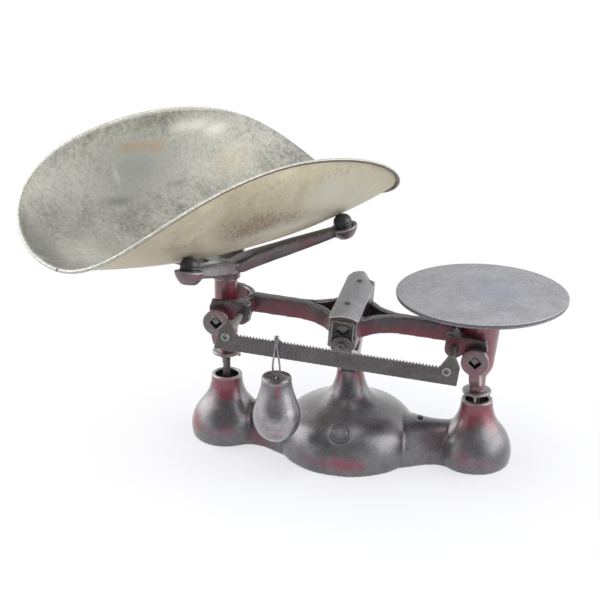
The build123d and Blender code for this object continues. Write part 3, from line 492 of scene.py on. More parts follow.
def new_group(name, inputs, outputs):
    """Empty node group with value inputs (name: default, None for a place) and value outputs.

    A group with a Size gets its place back already multiplied by it.
    """
    group = bpy.data.node_groups.new(name, "ShaderNodeTree")
    for key, value in inputs.items():
        kind = "NodeSocketVector" if value is None else "NodeSocketFloat"
        socket = group.interface.new_socket(key, in_out="INPUT", socket_type=kind)
        if value is not None:
            socket.default_value = value
    for key in outputs:
        group.interface.new_socket(key, in_out="OUTPUT", socket_type="NodeSocketFloat")
    given = group.nodes.new("NodeGroupInput").outputs
    place = given["Place"]
    if "Size" in inputs:
        sized = {0: place, "Scale": given["Size"]}
        place = add("VectorMath", sized, operation="SCALE").outputs[0]
    return group, given, place, group.nodes.new("NodeGroupOutput")


def use_group(group, **inputs):
    """A group placed in a material with its own values."""
    return add("Group", inputs, node_tree=group).outputs


# %% Group: casting grain
grain_group, _, place, result = new_group("casting_grain", {"Place": None, "Size": 1.0},
                                          ["Height", "Fine", "Grit"])
lumps = noise(place, 170.0, 3.0, 0.55)
grit = noise(place, 420.0, 4.0, 0.7)
fine = noise(place, 1000.0, 4.0, 0.75)
fill(result, {"Height": weighed((lumps, 1.0), (grit, 0.45), (fine, 0.25)),
              "Fine": ramp(fine, 0.36, 0.64), "Grit": ramp(grit, 0.34, 0.66)})

# %% Group: patches of old paint
patch_group, given, place, result = new_group("old_paint", {"Place": None, "Level": 0.5, "Ragged": 0.5},
                                              ["Paint", "Haze"])
clouds = noise(place, 48.0, 4.0, 0.6, 0.5)
flakes = noise(place, 330.0, 5.0, 0.75)
uneven = maths("SUBTRACT", weighed((clouds, 0.62), (flakes, 0.38)), 0.5)
left = maths("MULTIPLY_ADD", uneven, maths("MULTIPLY", given["Ragged"], 5.0), given["Level"])
fill(result, {"Paint": ramp(left, 0.12, 0.88), "Haze": ramp(left, -0.15, 0.55)})

# %% Group: rubbed edges
rub_group, given, place, result = new_group("rubbed_edge", {"Place": None, "Edge": 0.0, "Start": 0.35},
                                            ["Mask"])
broken = noise(place, 130.0, 5.0, 0.7)
reach = maths("ADD", given["Edge"], weighed((broken, 1.3), (0.5, -1.3)))
fill(result, {"Mask": ramp(reach, given["Start"], maths("ADD", given["Start"], 0.55))})

# %% Group: stains of old sheet metal
stain_group, _, place, result = new_group("sheet_stains", {"Place": None, "Size": 1.0},
                                          ["Clouds", "Fine", "Spots"])
for name, scale, detail, roughness, twist, low, high in (
        ("Clouds", 19.0, 5.0, 0.62, 0.8, 0.34, 0.66), ("Fine", 210.0, 6.0, 0.78, 0.0, 0.34, 0.66),
        ("Spots", 520.0, 2.0, 0.5, 0.0, 0.62, 0.72)):
    fill(result, {name: ramp(noise(place, scale, detail, roughness, twist), low, high)})
print("groups:", [group.name for group in bpy.data.node_groups])

# %% [markdown]
# ## Worn iron
# The castings were painted crimson and handled for decades. What is left is dark grey iron with a
# fine pale speckle, crimson where hands never reached, and a thin broken rub along the edges. Iron
# is modelled as a half-metallic surface that takes a broad soft sheen; paint is not metallic.

# %% Material: worn iron
CRIMSON, CRIMSON_DARK = (152, 54, 72), (92, 32, 46)
IRON_DARK, IRON_LIGHT, IRON_RUBBED = (64, 64, 67), (130, 129, 132), (168, 163, 164)
# Near black used as painted shade: in hollows, where it also stands partly for grime, and in full on the base's
# inner walls and down-facing faces.
PAINTED_SHADE_AND_GRIME = (26, 24, 26)


def shader(name):
    """New material, its Principled BSDF and the object's own coordinates."""
    material = bpy.data.materials.new(name)
    material.use_nodes = True
    place = add("TexCoord", {}, material.node_tree).outputs["Object"]
    return material, material.node_tree.nodes["Principled BSDF"], place


def rubbed(place, **start):
    """Mask of the edges that are rubbed bright."""
    return use_group(rub_group, Place=place, Edge=stored(place, "edge"), **start)["Mask"]


def worn_iron(name, dark=IRON_DARK, light=IRON_LIGHT, rub=0.6, rough=(0.29, 0.44), metal=0.5, coat=0.9):
    """Old iron casting with crimson left where the paint value is high."""
    material, bsdf, place = shader(name)
    grain = use_group(grain_group, Place=place)
    patch = use_group(patch_group, Place=place, Level=stored(place, "paint"))
    mottle = ramp(noise(place, 30.0, 4.0, 0.6, 0.3), 0.34, 0.66)
    share = weighed((grain["Fine"], 0.36), (grain["Grit"], 0.29), (mottle, 0.35))
    # The hollow coat is painted shade, partly grime; the inside coat is painted shade.
    body = tinted(blend(share, dark, light), (patch["Haze"], 0.30, CRIMSON),
                  (patch["Paint"], 0.85, blend(share, CRIMSON_DARK, CRIMSON)), ("hollow", 0.55, PAINTED_SHADE_AND_GRIME),
                  (rubbed(place), rub, IRON_RUBBED), ("inside", 1, PAINTED_SHADE_AND_GRIME))
    sheen = weighed((mottle, 0.6), (grain["Fine"], 0.4))
    fill(bsdf, {"Base Color": body, "Metallic": ramp(patch["Paint"], 0.0, 1.0, metal, metal * 0.3),
                "Roughness": ramp(sheen, 0.0, 1.0, *rough), "Coat Weight": coat, "Coat Roughness": 0.24,
                "Normal": bump(grain["Height"], 0.38, 0.0006)})
    return material


print("worn iron ready")

# %% [markdown]
# ## Bare metals
# Small steel parts are browned and dull. The bar keeps the fine upright scratches of its rolling,
# and the cover is plated sheet with a soft spotted sheen.

# %% Materials: steels


def old_steel(name, dark, light, metallic, rough=(0.34, 0.5), streaks=0.0, streak_axis=0, size=1.0,
              bright=(205, 202, 198)):
    """Dull steel between two colours; streaks above 0 add fine lines across one axis."""
    material, bsdf, place = shader(name)
    stains = use_group(stain_group, Place=place, Size=2.0 * size)
    share = weighed((stains["Clouds"], 0.45), (stains["Fine"], 0.55))
    height = stains["Fine"]
    if streaks:
        stretch = [22.0, 22.0, 22.0]
        stretch[streak_axis] = 900.0
        lines = add("Mapping", {"Vector": place, "Scale": stretch})
        scratch = noise(lines.outputs[0], 1.0, 3.0, 0.7)
        share = maths("ADD", share, weighed((scratch, streaks), (0.5, -streaks)))
        height = weighed((scratch, 0.8), (height, 0.4))
    body = tinted(blend(share, dark, light), (stains["Spots"], 0.55, RUST),
                  (rubbed(place, Start=0.2), 0.7, bright))
    fill(bsdf, {"Base Color": body, "Metallic": metallic, "Normal": bump(height, 0.35, 0.0003),
                "Roughness": ramp(stains["Clouds"], 0.0, 1.0, *rough)})
    return material


RUST = (70, 50, 38)
bar_steel = old_steel("bar_steel", (72, 68, 69), (112, 106, 106), 0.5, (0.36, 0.5), 0.5, bright=(140, 135, 134))
edge_steel = old_steel("edge_steel", (104, 98, 102), (160, 154, 158), 0.6)
fixing_steel = old_steel("fixing_steel", (74, 72, 74), (140, 136, 138), 0.6)
dark_steel = old_steel("dark_steel", (52, 50, 54), (96, 93, 96), 0.5)
washer_steel = old_steel("washer_steel", (82, 82, 80), (140, 140, 136), 0.6, (0.28, 0.42))
cover_steel = old_steel("cover_steel", (118, 119, 123), (166, 167, 172), 0.5, (0.36, 0.5), 0.25, 1, 1.4)
rod_steel = old_steel("rod_steel", (84, 78, 77), (128, 120, 118), 0.6, (0.35, 0.5))
standoff_steel = old_steel("standoff_steel", (122, 122, 120), (172, 172, 170), 0.55, (0.4, 0.55))
wire_steel = old_steel("wire_steel", (110, 104, 110), (172, 166, 172), 0.8, (0.25, 0.4))
lip_brass = old_steel("lip_brass", (122, 96, 74), (178, 150, 118), 0.4, (0.4, 0.55))
print("steels:", len(bpy.data.materials))

# %% [markdown]
# The weight plate is iron too, but its paint is long gone from the top: it has a fine mottled grey
# with a few darker clouds, and reddish remains only round the rim and underneath.

# %% Material: plate iron
plate_iron, bsdf, place = shader("plate_iron")
grain = use_group(grain_group, Place=place, Size=1.2)
patch = use_group(patch_group, Place=place, Level=stored(place, "paint"), Ragged=0.4)
clouds = ramp(noise(place, 36.0, 5.0, 0.65, 0.6), 0.34, 0.66)
share = weighed((clouds, 0.3), (grain["Fine"], 0.3), (grain["Grit"], 0.4))
body = tinted(blend(share, (108, 107, 111), (182, 181, 186)),
              ("blue", 0.5, (132, 134, 156)), (patch["Paint"], 0.8, CRIMSON_DARK),
              ("side", 0.85, (62, 54, 58)), (rubbed(place), 0.35, (182, 180, 180)))
fill(bsdf, {"Base Color": body, "Metallic": 0.35, "Roughness": ramp(clouds, 0.0, 1.0, 0.42, 0.56),
            "Normal": bump(grain["Height"], 0.4, 0.0004)})

# %% [markdown]
# ## Scoop sheet
# The scoop is one sheet of old tinned metal. Inside it has turned greenish grey with brown stains;
# its broad darker bands are painted shade and its brighter spots painted light. Outside it is
# straw-coloured with a brown mottled patch. A number kept on the mesh, 1 inside and 0 outside, lets
# a single material show both faces.

# %% Material: scoop sheet
scoop_sheet, bsdf, place = shader("scoop_sheet")
stains = use_group(stain_group, Place=place)
wide = ramp(noise(place, 11.0, 4.0, 0.6, 1.0), 0.36, 0.64)
share = weighed((stains["Clouds"], 0.3), (stains["Fine"], 0.52), (wide, 0.18))
specks = maths("MULTIPLY", maths("ADD", stored(place, "speck"), 0.22), stains["Spots"])
mottle = weighed((stored(place, "patch"), 1.0), (stains["Fine"], 1.3), (0.5, -1.3))
inner = tinted(blend(share, (99, 98, 93), (192, 192, 181)),
               # The bright coat is painted light.
               ("bright", 0.75, (226, 225, 214)), ("stain", 0.85, (164, 144, 116)),
               # The shade coat is painted shade.
               ("shade", 0.85, (92, 93, 92)), (ramp(specks, 0.02, 0.6), 1, (70, 72, 66)))
outer = tinted(blend(share, (164, 152, 124), (214, 206, 182)),
               (ramp(mottle, 0.15, 1.1), 0.75, (134, 112, 96)), ("green", 1, (206, 206, 190)))
height = weighed((stains["Fine"], 0.5), (stains["Spots"], 0.6), (wide, 1.5))
fill(bsdf, {"Base Color": tinted(outer, ("inner", 1, inner)), "Metallic": 0.5,
            "Roughness": ramp(share, 0.2, 0.9, 0.44, 0.6), "Normal": bump(height, 0.3, 0.0005)})

# %% Materials: scoop rim and rubber
scoop_rim, bsdf, place = shader("scoop_rim")
stains = use_group(stain_group, Place=place, Size=1.6)
# The under coat, on the turned-back part of the roll, is painted shade.
body = tinted(blend(stains["Fine"], (158, 155, 147), (206, 203, 195)),
              (stains["Spots"], 0.4, (120, 106, 92)), ("under", 0.8, (70, 52, 46)),
              ("seam", 1, (20, 18, 18)))
fill(bsdf, {"Base Color": body, "Metallic": 0.5, "Roughness": ramp(stains["Clouds"], 0.0, 1.0, 0.42, 0.56)})

bumper_rubber, bsdf, place = shader("bumper_rubber")
dust = use_group(grain_group, Place=place, Size=1.5)
share = weighed((dust["Fine"], 0.6), (dust["Grit"], 0.4))
fill(bsdf, {"Base Color": blend(share, (20, 20, 24), (58, 58, 63)),
            "Roughness": ramp(dust["Grit"], 0.0, 1.0, 0.28, 0.46),
            "Normal": bump(dust["Height"], 0.25, 0.0003)})
print("materials:", len(bpy.data.materials))

# %% [markdown]
# ## Putting a piece in its place
# Each finished piece gets one material, rides on a body, and hides the CAD nodes it stands for.

# %% Place a piece


def place_piece(piece, material, body, slot, *nodes):
    """Material, body and replaced nodes of a new piece, in one call; slot is not used."""
    piece.data.materials.clear()
    piece.data.materials.append(material)
    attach(piece, body)
    if nodes:
        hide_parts(*nodes)


def turned(name, outline, centres, segments, axis=(0, 0, 1)):
    """One piece made of the same lathe shell at each centre."""
    return mesh_piece(name, *(lathe(outline, centre, axis, segments) for centre in centres))


def top_of(node):
    """Middle of the top of a CAD node's box, with its width and height in millimetres."""
    low, high = (np.array(corner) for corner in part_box(node))
    return np.array((*(low + high)[:2] / 2, high[2])), *((high - low)[[0, 2]] / MM)


print("placing helpers ready")

# %% [markdown]
# ## Base
# One hollow casting: a dome, two bells, arched saddles between them, a column and a fork. Crimson
# lasts on the necks of the bells, the sides of the column and low on the front of the dome. The
# inner walls and the faces that look down are painted near black as painted shade, so a value marks
# the points whose faces look back at their own axis below the tops of the bells, or look down.

# %% Base casting
base_spots = [
    (-155, -18, 71, 15, 0.8), (-141, -16, 74, 14, 0.8), (-145, -21, 58, 9, 0.6), (-158, 8, 68, 18, 0.6),
    (-182, -24, 27, (9, 16, 13), 0.7), (-150, -42, 21, (20, 10, 7), 0.45), (-100, -29, 12, 16, 0.35),
    (144, -18, 71, 14, 0.7), (162, -14, 74, 15, 0.75), (142, -21, 57, 13, 0.65), (166, -12, 58, 13, 0.6),
    (150, -42, 17, (26, 10, 10), 0.42), (112, -18, 34, 14, 0.3), (-12, -8, 97, (7, 12, 15), 0.8),
    (14, -6, 97, (8, 12, 15), 0.8), (-28, -76, 15, (16, 12, 6), 0.5), (4, -81, 16, (18, 10, 7), 0.75),
    (26, -77, 14, (14, 12, 6), 0.45), (150, 22, 64, 24, 0.6), (0, 80, 20, (40, 14, 12), 0.5),
    (0, 14, 98, 16, 0.6), (0, 44, 130, 20, 0.6), (0, -40, 132, 16, 0.6), (-60, 44, 30, 18, 0.3),
    (75, 40, 26, 18, 0.35),
]
bell_x, bells_from, tops_of_bells, floor_level = 0.15, 0.1, 0.0785, 0.0005
base = cast_skin("base_skin", "base_casting", 1.75, 14, 0.16, 3)
mark_wear(base, -0.05, 0.1, 0.35, base_spots)
points, normals, _ = mesh_arrays(base.data)
points[:, 2] = np.maximum(points[:, 2], 0)
move_points(base.data, points)
axis_x = np.where(np.abs(points[:, 0]) > bells_from, np.sign(points[:, 0]) * bell_x, 0.0)
outward = np.stack((points[:, 0] - axis_x, points[:, 1], 0 * axis_x), axis=1)
facing_in = np.sum(outward * normals, axis=1) / (np.linalg.norm(outward, axis=1) + 1e-6) < -0.25
low_enough = (points[:, 2] < tops_of_bells) & (points[:, 2] > floor_level)
# The inside value marks where painted shade goes: inner walls and faces looking down.
store(base, "inside", (facing_in & low_enough) | (normals[:, 2] < -0.5))
place_piece(base, worn_iron("base_iron"), "base", "worn_iron", "base_casting")

# %% Plug and saddle screw
plug_slope, plug_centre = radians(44), np.array((2.0, -66.0, 48.4)) * MM
plug_outline = rounded([(0, -2.3), (12.2, -2.3), (12.4, 1.2), (11.6, 2.0), (10.4, 1.1), (8.9, 0.9), (8.4, 2.4),
                        (7.2, 2.6), (6.4, 2.0), (0, 2.2)], 0.7)
plug = turned("base_plug_turned", plug_outline, [plug_centre], 72, (0, -cos(plug_slope), sin(plug_slope)))
mark_wear(plug, -0.7, 0.0, 0.2)
# The plug's edges are rubbed at full strength: partly wear, partly a painted highlight on the ring's edges.
place_piece(plug, worn_iron("plug_iron", rub=1.0, metal=0.8), "base", "worn_iron", "base_plug")
screw_outline = rounded([(0, -7.3), (1.9, -7.3), (1.9, -2.5), (3.3, -2.5), (3.4, -0.9), (2.2, 0), (0, 0)], 0.6)
screw = turned("saddle_screw_turned", screw_outline, [top_of("saddle_screw")[0]], 40)
place_piece(screw, dark_steel, "base", "fixing_steel", "saddle_screw")
print("base pieces done")

# %% [markdown]
# ## Beam
# The beam is one casting with a channel-shaped hub, two forked arms and two open yokes. Its flat
# tops are rubbed grey and its sides keep their crimson, so paint falls with facing up.

# %% Beam casting
beam_spots = [
    (78, -14, 149, (46, 18, 10), 1.3), (38, -36, 154, (18, 16, 10), 1.25), (106, -8, 147, (16, 9, 7), 0.8),
    (-64, -18, 161, (30, 14, 8), 0.85), (-38, -34, 160, (12, 12, 9), 0.6), (-120, 14, 174, 20, 0.6),
    (-106, -8, 168, (14, 9, 8), 0.3), (-134, -31, 166, 10, 0.55), (128, -31, 156, 14, 0.55),
    (120, 14, 150, 24, 0.5), (-18, -40, 160, (6, 22, 20), 0.5), (18, -40, 156, (6, 22, 20), 0.35),
    (-70, 14, 168, 22, 0.3), (70, 14, 160, 22, 0.3),
]
beam = cast_skin("beam_skin", "beam_casting", 1.2, 7, 0.10, 5)
mark_wear(beam, 0.1, 0.6, 0.4, beam_spots)
beam_iron = worn_iron("beam_iron", (44, 43, 46), (94, 92, 95), coat=0.3)
place_piece(beam, beam_iron, "beam", "worn_iron", "beam_casting")

# %% Hangers
hangers = {"left": ("scoop_side_hanger", 1.1, 7, 0.72, [(-150, -14, 182, (5, 9, 14), -0.2)]),
           "right": ("plate_side_hanger", 1.15, 8, 0.62, [])}
for side, (body, cell, seed, paint, spots) in hangers.items():
    hanger = cast_skin(side + "_hanger_skin", side + "_hanger", cell, 5, 0.05, seed)
    mark_wear(hanger, paint, 0.9, 0.45, spots)
    place_piece(hanger, worn_iron(side + "_hanger_iron"), body, "worn_iron", side + "_hanger")

# %% [markdown]
# ## Spider
# Four arms spread from a turned hub to the cups of the bumpers. The CAD arms are slim blades; the
# casting has broad flat-topped arms that flare into the hub, so a rounded bar is lofted along each
# one and melted into the same skin.

# %% Spider
arm_ways = [np.array((cos(heading), sin(heading), 0.0)) for heading in np.radians((21.9, 89.3, 201.9, 269.3))]
arm_reach = np.linspace(6, 131, 40)
arm_top = np.interp(arm_reach, (6, 20, 34, 70, 131), (56, 59.5, 65, 75.5, 90.2))
arm_low = np.interp(arm_reach, (6, 20, 34, 70, 131), (43, 43.5, 47.5, 58, 79.5))
arm_half = np.interp(arm_reach, (6, 18, 34, 62, 131), (18, 17, 12.5, 8.6, 7.4))
arms = [bar_shell(left_edge + arm_reach[:, None] * MM * ahead, np.array((-ahead[1], ahead[0], 0.0)), arm_half,
                  arm_low, arm_top) for ahead in arm_ways]
spider = cast_skin("spider_skin", "scoop_spider", 1.25, 6, 0.08, 9, *arms)
mark_wear(spider, 0.16, 1.3, 0.35)
spider_iron = worn_iron("spider_iron", light=(122, 120, 122), coat=0.45)
place_piece(spider, spider_iron, "spider", "worn_iron", "scoop_spider")

# %% Rubber bumpers
reach, spread, lean, ball, press = 137.9, radians(33.7), radians(14), 11.0, 0.3
scoop_base, trough_bend, dish_bend = 74.6, 122.8, 963.0
swing = dish_bend - trough_bend + sqrt((trough_bend + ball + press) ** 2 - (reach * sin(spread)) ** 2)
ball_height = scoop_base + dish_bend - sqrt(swing ** 2 - (reach * cos(spread)) ** 2)
quarter = np.linspace(0, pi / 2, 14)
dome = np.stack((10.9 * np.cos(quarter) ** 0.8, 1.5 + (ball - 1.5) * np.sin(quarter)), axis=1)[:-1].tolist()
ball_outline = [(0, -8.3), (10.4, -8.3), (10.9, -7.8), (10.9, -3.6), (10.1, -3.0), (10.1, -2.2), (10.9, -1.6),
                (10.9, -0.4), (10.1, 0.2), (10.1, 0.9), *dome, (0, ball)]
balls = [lathe(ball_outline, left_edge + MM * (reach * ahead + ball_height * UP),
               cos(lean) * UP - sin(lean) * ahead, 48) for ahead in arm_ways]
place_piece(mesh_piece("bumper_balls", *balls), bumper_rubber, "spider", "bumper_rubber", "spider_bumpers")
print("spider and bumpers done")

# %% [markdown]
# ## Edges, ring faces and hub
# Each hanger ring is closed by a flat face with a diamond-shaped window, through which the end of
# the hard steel edge shows. The edge is ground slimmer there. The hub's ends carry a thin plate with
# a heart-shaped window, and a bent sheet cover lies on top.

# %% Ring faces
turn = all_round(96)
c, s = np.cos(turn), np.sin(turn)
face_radius, face_drop, window_size, window_power, window_drop = 16.0, 6.7, 7.7, 1.12, 6.5
round_edge = np.stack((face_radius * c, face_radius * s - face_drop), axis=1)
window_reach = window_size / (np.abs(c) ** window_power + np.abs(s) ** window_power)
window = np.stack((window_reach * c, window_reach * s - window_drop), axis=1)
face_profile = [
    (0, 0, 41.6, 0), (0, 0, 45.1, 0.9), (0, 0.25, 45.45, 0.8), (0, 0.7, 45.5, 0.1), (1, 2.0, 45.5, 0.1),
    (1, 1.2, 45.4, 0.6), (1, 0.5, 45.05, 0.9), (1, 0.1, 44.5, 0.5), (1, 0, 43.6, 0), (1, 1.5, 43.0, 0),
]
for side, edge, body, paint in (("left", left_edge, "scoop_side_hanger", 0.22),
                                ("right", right_edge, "plate_side_hanger", 0.3)):
    name = side + "_ring_faces"
    faces = pierced_pair(name, window, round_edge, face_profile, beside(edge))
    store(faces, "paint", np.full(len(faces.data.vertices), paint))
    place_piece(faces, worn_iron(name + "_iron", rub=0.45), body, "worn_iron")

# %% Knife edges with ground ends


def knife_stub(place, start, end):
    """Square bar on its corner from start to end, its last part ground slimmer under the working edge."""
    half, ground, ground_length, point_length = 6.7, 4.4, 9, 2
    way = np.sign(end)
    depth = np.array((start, start, end - way * ground_length, end - way * point_length, end, end))[:, None]
    halves = np.array((0, half, half, ground, ground, 0))[:, None]
    centre_down = np.array((half, half, half, ground, ground, ground))[:, None]
    u = halves * np.array((0.0, 1.0, 0.0, -1.0))
    w = halves * np.array((1.0, 0.0, -1.0, 0.0)) - centre_down
    return grid_shell(place(u, depth, w))


def end_of_beam(side):
    """Places beside the working edges at one end of the tilted beam."""
    edge_reach, edge_drop = 150.0, 8.0
    return lambda u, y, w: on_beam(u + side * edge_reach, y, w - edge_drop)


yoke_face, stub_end = 26.9, 45.0
for side, name in ((-1, "left_knife_edges"), (1, "right_knife_edges")):
    stub = mesh_piece(name + "_ground", *(knife_stub(end_of_beam(side), way * yoke_face, way * stub_end)
                                          for way in (-1, 1)))
    shade(stub.data, False)
    place_piece(stub, fixing_steel, "beam", "edge_steel", name)
print("rings and knife edges done")

# %% Hub end plates
turn = all_round(120)
c, s = np.cos(turn), np.sin(turn)
middle_w, half_u, height_above, depth_below = 4.5, 12.7, 11.0, 20.5
# The window: a bulge at each side of a notch above, and a blunt point below.
heart = 6.2 + 1.5 * np.abs(c) ** 2 * (s > -0.4) - 1.2 * np.exp(-((turn - pi / 2) / 0.3) ** 2)
heart = np.where(s < 0, 5.9 / (np.abs(c) * 0.72 + np.abs(s)), heart)
box_reach = np.minimum(half_u / np.maximum(np.abs(c), 1e-6),
                       np.where(s > 0, height_above, depth_below) / np.maximum(np.abs(s), 1e-6))
inner, outer = (np.stack((reach * c, reach * s + middle_w), axis=1) for reach in (heart, box_reach))
plate_profile = [
    (0, 0, 52.6, 0), (0, 0, 56.2, 0.2), (0, 0.5, 56.6, 0.2), (0, 1.2, 56.6, 0), (1, 1.6, 56.6, 0),
    (1, 0.9, 56.9, 0.9), (1, 0.3, 56.9, 0.9), (1, 0, 56.5, 0.6), (1, 0, 55.0, 0), (1, 1.0, 52.6, 0),
]
end_plates = pierced_pair("hub_end_plates_pierced", inner, outer, plate_profile, on_beam)
place_piece(end_plates, dark_steel, "beam", "edge_steel", "hub_end_plates")


def smooth_path(corners):
    """Catmull-Rom curve through the corners: runs of a cubic whose ends point along the neighbours."""
    corners = np.array(corners, float)
    padded = np.concatenate((2 * corners[:1] - corners[1:2], corners, 2 * corners[-1:] - corners[-2:-1]))
    t = np.linspace(0, 1, 8, endpoint=False)[:, None]
    runs = [0.5 * (2 * b + (c - a) * t + (2 * a - 5 * b + 4 * c - d) * t ** 2
                   + (3 * b - a - 3 * c + d) * t ** 3)
            for a, b, c, d in zip(padded, padded[1:], padded[2:], padded[3:])]
    return np.concatenate(runs + [corners[-1:]])


lip_corners = ([(-11.8, 12.6), (-10.4, 15.0), (-6.6, 16.2)],
               [(-0.8, 14.4), (1.8, 16.4), (6.2, 15.6), (9.4, 12.2)])
hub_end, lip_radius = 57.0, 0.95
lips = [tube(on_beam(flat[:, 0], side * hub_end, flat[:, 1]), lip_radius, 10)
        for side in (-1, 1) for flat in map(smooth_path, lip_corners)]
place_piece(mesh_piece("hub_lips", *lips), lip_brass, "beam", "fixing_steel")
print("hub ends done")

# %% Hub cover


def quarter_round(t):
    """1 minus a quarter circle: 0 while t is below 0, rising to 1 at t = 1."""
    return 1 - np.sqrt(1 - np.clip(t, 0, 1) ** 2)


across, along = np.meshgrid(np.linspace(-1, 1, 45), np.linspace(-75, 72, 120), indexing="xy")
half_width, crown_height, crown_bend, gauge = 17, 31.0, 36.0, 1.15
# The rear left corner is round; the rear right one is clipped and bent down.
left_half = half_width - 12 * quarter_round((along - 58) / 14)
right_half = np.where(along > 54, half_width - (along - 54) * 0.86, half_width)
front_round = 3 * quarter_round((-along - 72) / 3)
u = across * (np.where(across < 0, left_half, right_half) - front_round)
crown = crown_height - crown_bend + np.sqrt(crown_bend ** 2 - u ** 2)
bent = 0.30 * np.clip((along - 46) + (u - 8) * 1.2, 0, 30) ** 1.1
w = crown - np.where(u > 0, bent * np.clip(u / 14, 0, 1), 0) + 0.10 * np.sin(u * 0.5) * np.sin(along * 0.11)
skew = radians(-1.8)
skewed = (u * cos(skew) + along * sin(skew) + 1.0, along * cos(skew) - u * sin(skew) - 1.5)
cover = mesh_piece("hub_cover_sheet", sheet(on_beam(*skewed, w), on_beam(*skewed, w - gauge)))
rim_share = np.maximum(np.abs(across) > 0.97, (along < -74) | (along > 71)).astype(float)
store(cover, "edge", np.tile(rim_share.ravel(), 2) * 0.8)
softened = cover.modifiers.new("soft_rim", "BEVEL")
softened.width, softened.segments, softened.angle_limit = 0.25 * MM, 2, radians(50)
place_piece(cover, cover_steel, "beam", "cover_steel", "beam_cover")
head_outline = rounded([(0, -14), (1.7, -14), (1.7, -0.2), (3.3, -0.2), (3.3, 0.6), (2.6, 1.1), (0, 0.7)], 0.5)
head_centres = on_beam(0.0, np.array((-37.0, 37.0)), crown_height)
heads = turned("cover_screws_turned", head_outline, head_centres, 40, (sin(rest_tilt), 0, cos(rest_tilt)))
place_piece(heads, dark_steel, "beam", "fixing_steel", "cover_screws")
print("cover done")

# %% Washers of the heads
washer_outline = rounded([(0, 0), (12.3, 0), (12.5, 0.5), (12.5, 2.2), (11.7, 3.0), (10.4, 3.0), (9.9, 2.6),
                          (8.2, 2.6), (7.7, 3.1), (6.4, 3.2), (0, 3.0)], 0.4)
head_height = 152.0
washers = mesh_piece("head_washers_turned", *(
    lathe(washer_outline, np.array((0, side * hub_end, head_height)) * MM, (0, side, 0), 72)
    for side in (-1, 1)))
mark_wear(washers, 0.0)
place_piece(washers, washer_steel, "base", "fixing_steel", "head_washers")

# %% [markdown]
# ## Notched bar
# The bar is flat steel with 63 filed notches. Its copy is remeshed finely enough that every tooth
# gets a small worn round, and the wear values then find the bright tooth tips. It is carried by two
# rods whose tubular rivets are spread over its face.

# %% Bar, standoffs and rivets
bar = cast_skin("notched_bar_skin", "notched_bar", 0.5, 2, 0.0, 4)
mark_wear(bar, 0.0)
place_piece(bar, bar_steel, "beam", "bar_steel", "notched_bar")
rod_outline = rounded([(0, -0.5), (4.5, -0.5), (4.5, 3), (4.1, 6), (4.1, 40), (4.4, 60), (4.4, 68.9),
                       (0, 68.9)], 1.2)
tube_outline = rounded([(0, -1.6), (1.9, -1.6), (2.2, 0.6), (3.1, 1.9), (4.3, 1.7), (5.1, 0.8), (5.2, 0),
                        (2.55, 0), (2.55, -7.5), (0, -7.5)], 0.5)
rod_u, rod_w = np.array((-124.5, 124.5)), -6.5
for node, outline, depth in (("bar_standoffs", rod_outline, -25.6), ("bar_rivets", tube_outline, -97.4)):
    pair = turned(node + "_turned", outline, on_beam(rod_u, depth, rod_w), 48, (0, -1, 0))
    place_piece(pair, standoff_steel, "beam", "fixing_steel", node)
print("bar done")

# %% [markdown]
# ## Scoop
# The sheet is a trough bent to one radius across and dished to a much larger radius lengthways, cut
# to an oval. A square grid is first pressed into a disc, the disc is stretched to the oval, and the
# oval is wrapped over the doubly bent trough. The rim is a strip of the same sheet rolled outward
# over 320 degrees, carried round the oval's edge.

# %% Scoop formula
scoop_bend, scoop_sag, scoop_gauge = trough_bend * MM, dish_bend * MM, 0.0007
scoop_half_length, scoop_half_arc = 0.228, 0.199
scoop_bottom = left_edge[2] + scoop_base * MM
edge_power_along, edge_power_across = 1.06, 0.80
scoop_turn = radians(55.6)
slip_along, slip_around = -0.010, 0.0055


def scoop_surface(disc_x, disc_y, bend):
    """Points of the scoop over a unit disc.

    along = slip + half length * r * |cos|^1.06, around = slip + half arc * r * |sin|^0.80, then
    side = bend * sin(around / scoop bend) and height follows the larger sag circle.
    """
    r = np.hypot(disc_x, disc_y)
    safe = np.where(r > 1e-9, r, 1.0)
    c, s = disc_x / safe, disc_y / safe
    along = r * scoop_half_length * np.sign(c) * np.abs(c) ** edge_power_along + slip_along
    around = r * scoop_half_arc * np.sign(s) * np.abs(s) ** edge_power_across + slip_around
    swing = scoop_sag - scoop_bend + bend * np.cos(around / scoop_bend)
    side = bend * np.sin(around / scoop_bend)
    height = scoop_bottom + scoop_sag - np.sqrt(swing ** 2 - along ** 2)
    x = left_edge[0] + along * cos(scoop_turn) - side * sin(scoop_turn)
    y = along * sin(scoop_turn) + side * cos(scoop_turn)
    return np.stack((x, y, height), axis=-1), along, around


# %% Scoop sheet
cells = 170
p, q = np.meshgrid(np.linspace(-1, 1, cells), np.linspace(-1, 1, cells), indexing="ij")
disc_x, disc_y = p * np.sqrt(1 - q ** 2 / 2), q * np.sqrt(1 - p ** 2 / 2)
ripple_depth = 0.00022 * (1 - disc_x ** 2 - disc_y ** 2).clip(0, 1)
ripple = ripple_depth * np.sin(disc_x * 9 + 1.2) * np.sin(disc_y * 7 + 0.4)
inner_points, along, around = scoop_surface(disc_x, disc_y, scoop_bend - scoop_gauge + ripple)
outer_points, _, _ = scoop_surface(disc_x, disc_y, scoop_bend + ripple)
dish = mesh_piece("scoop_dish", sheet(inner_points, outer_points))
store(dish, "inner", np.repeat((1.0, 0.0), cells * cells))

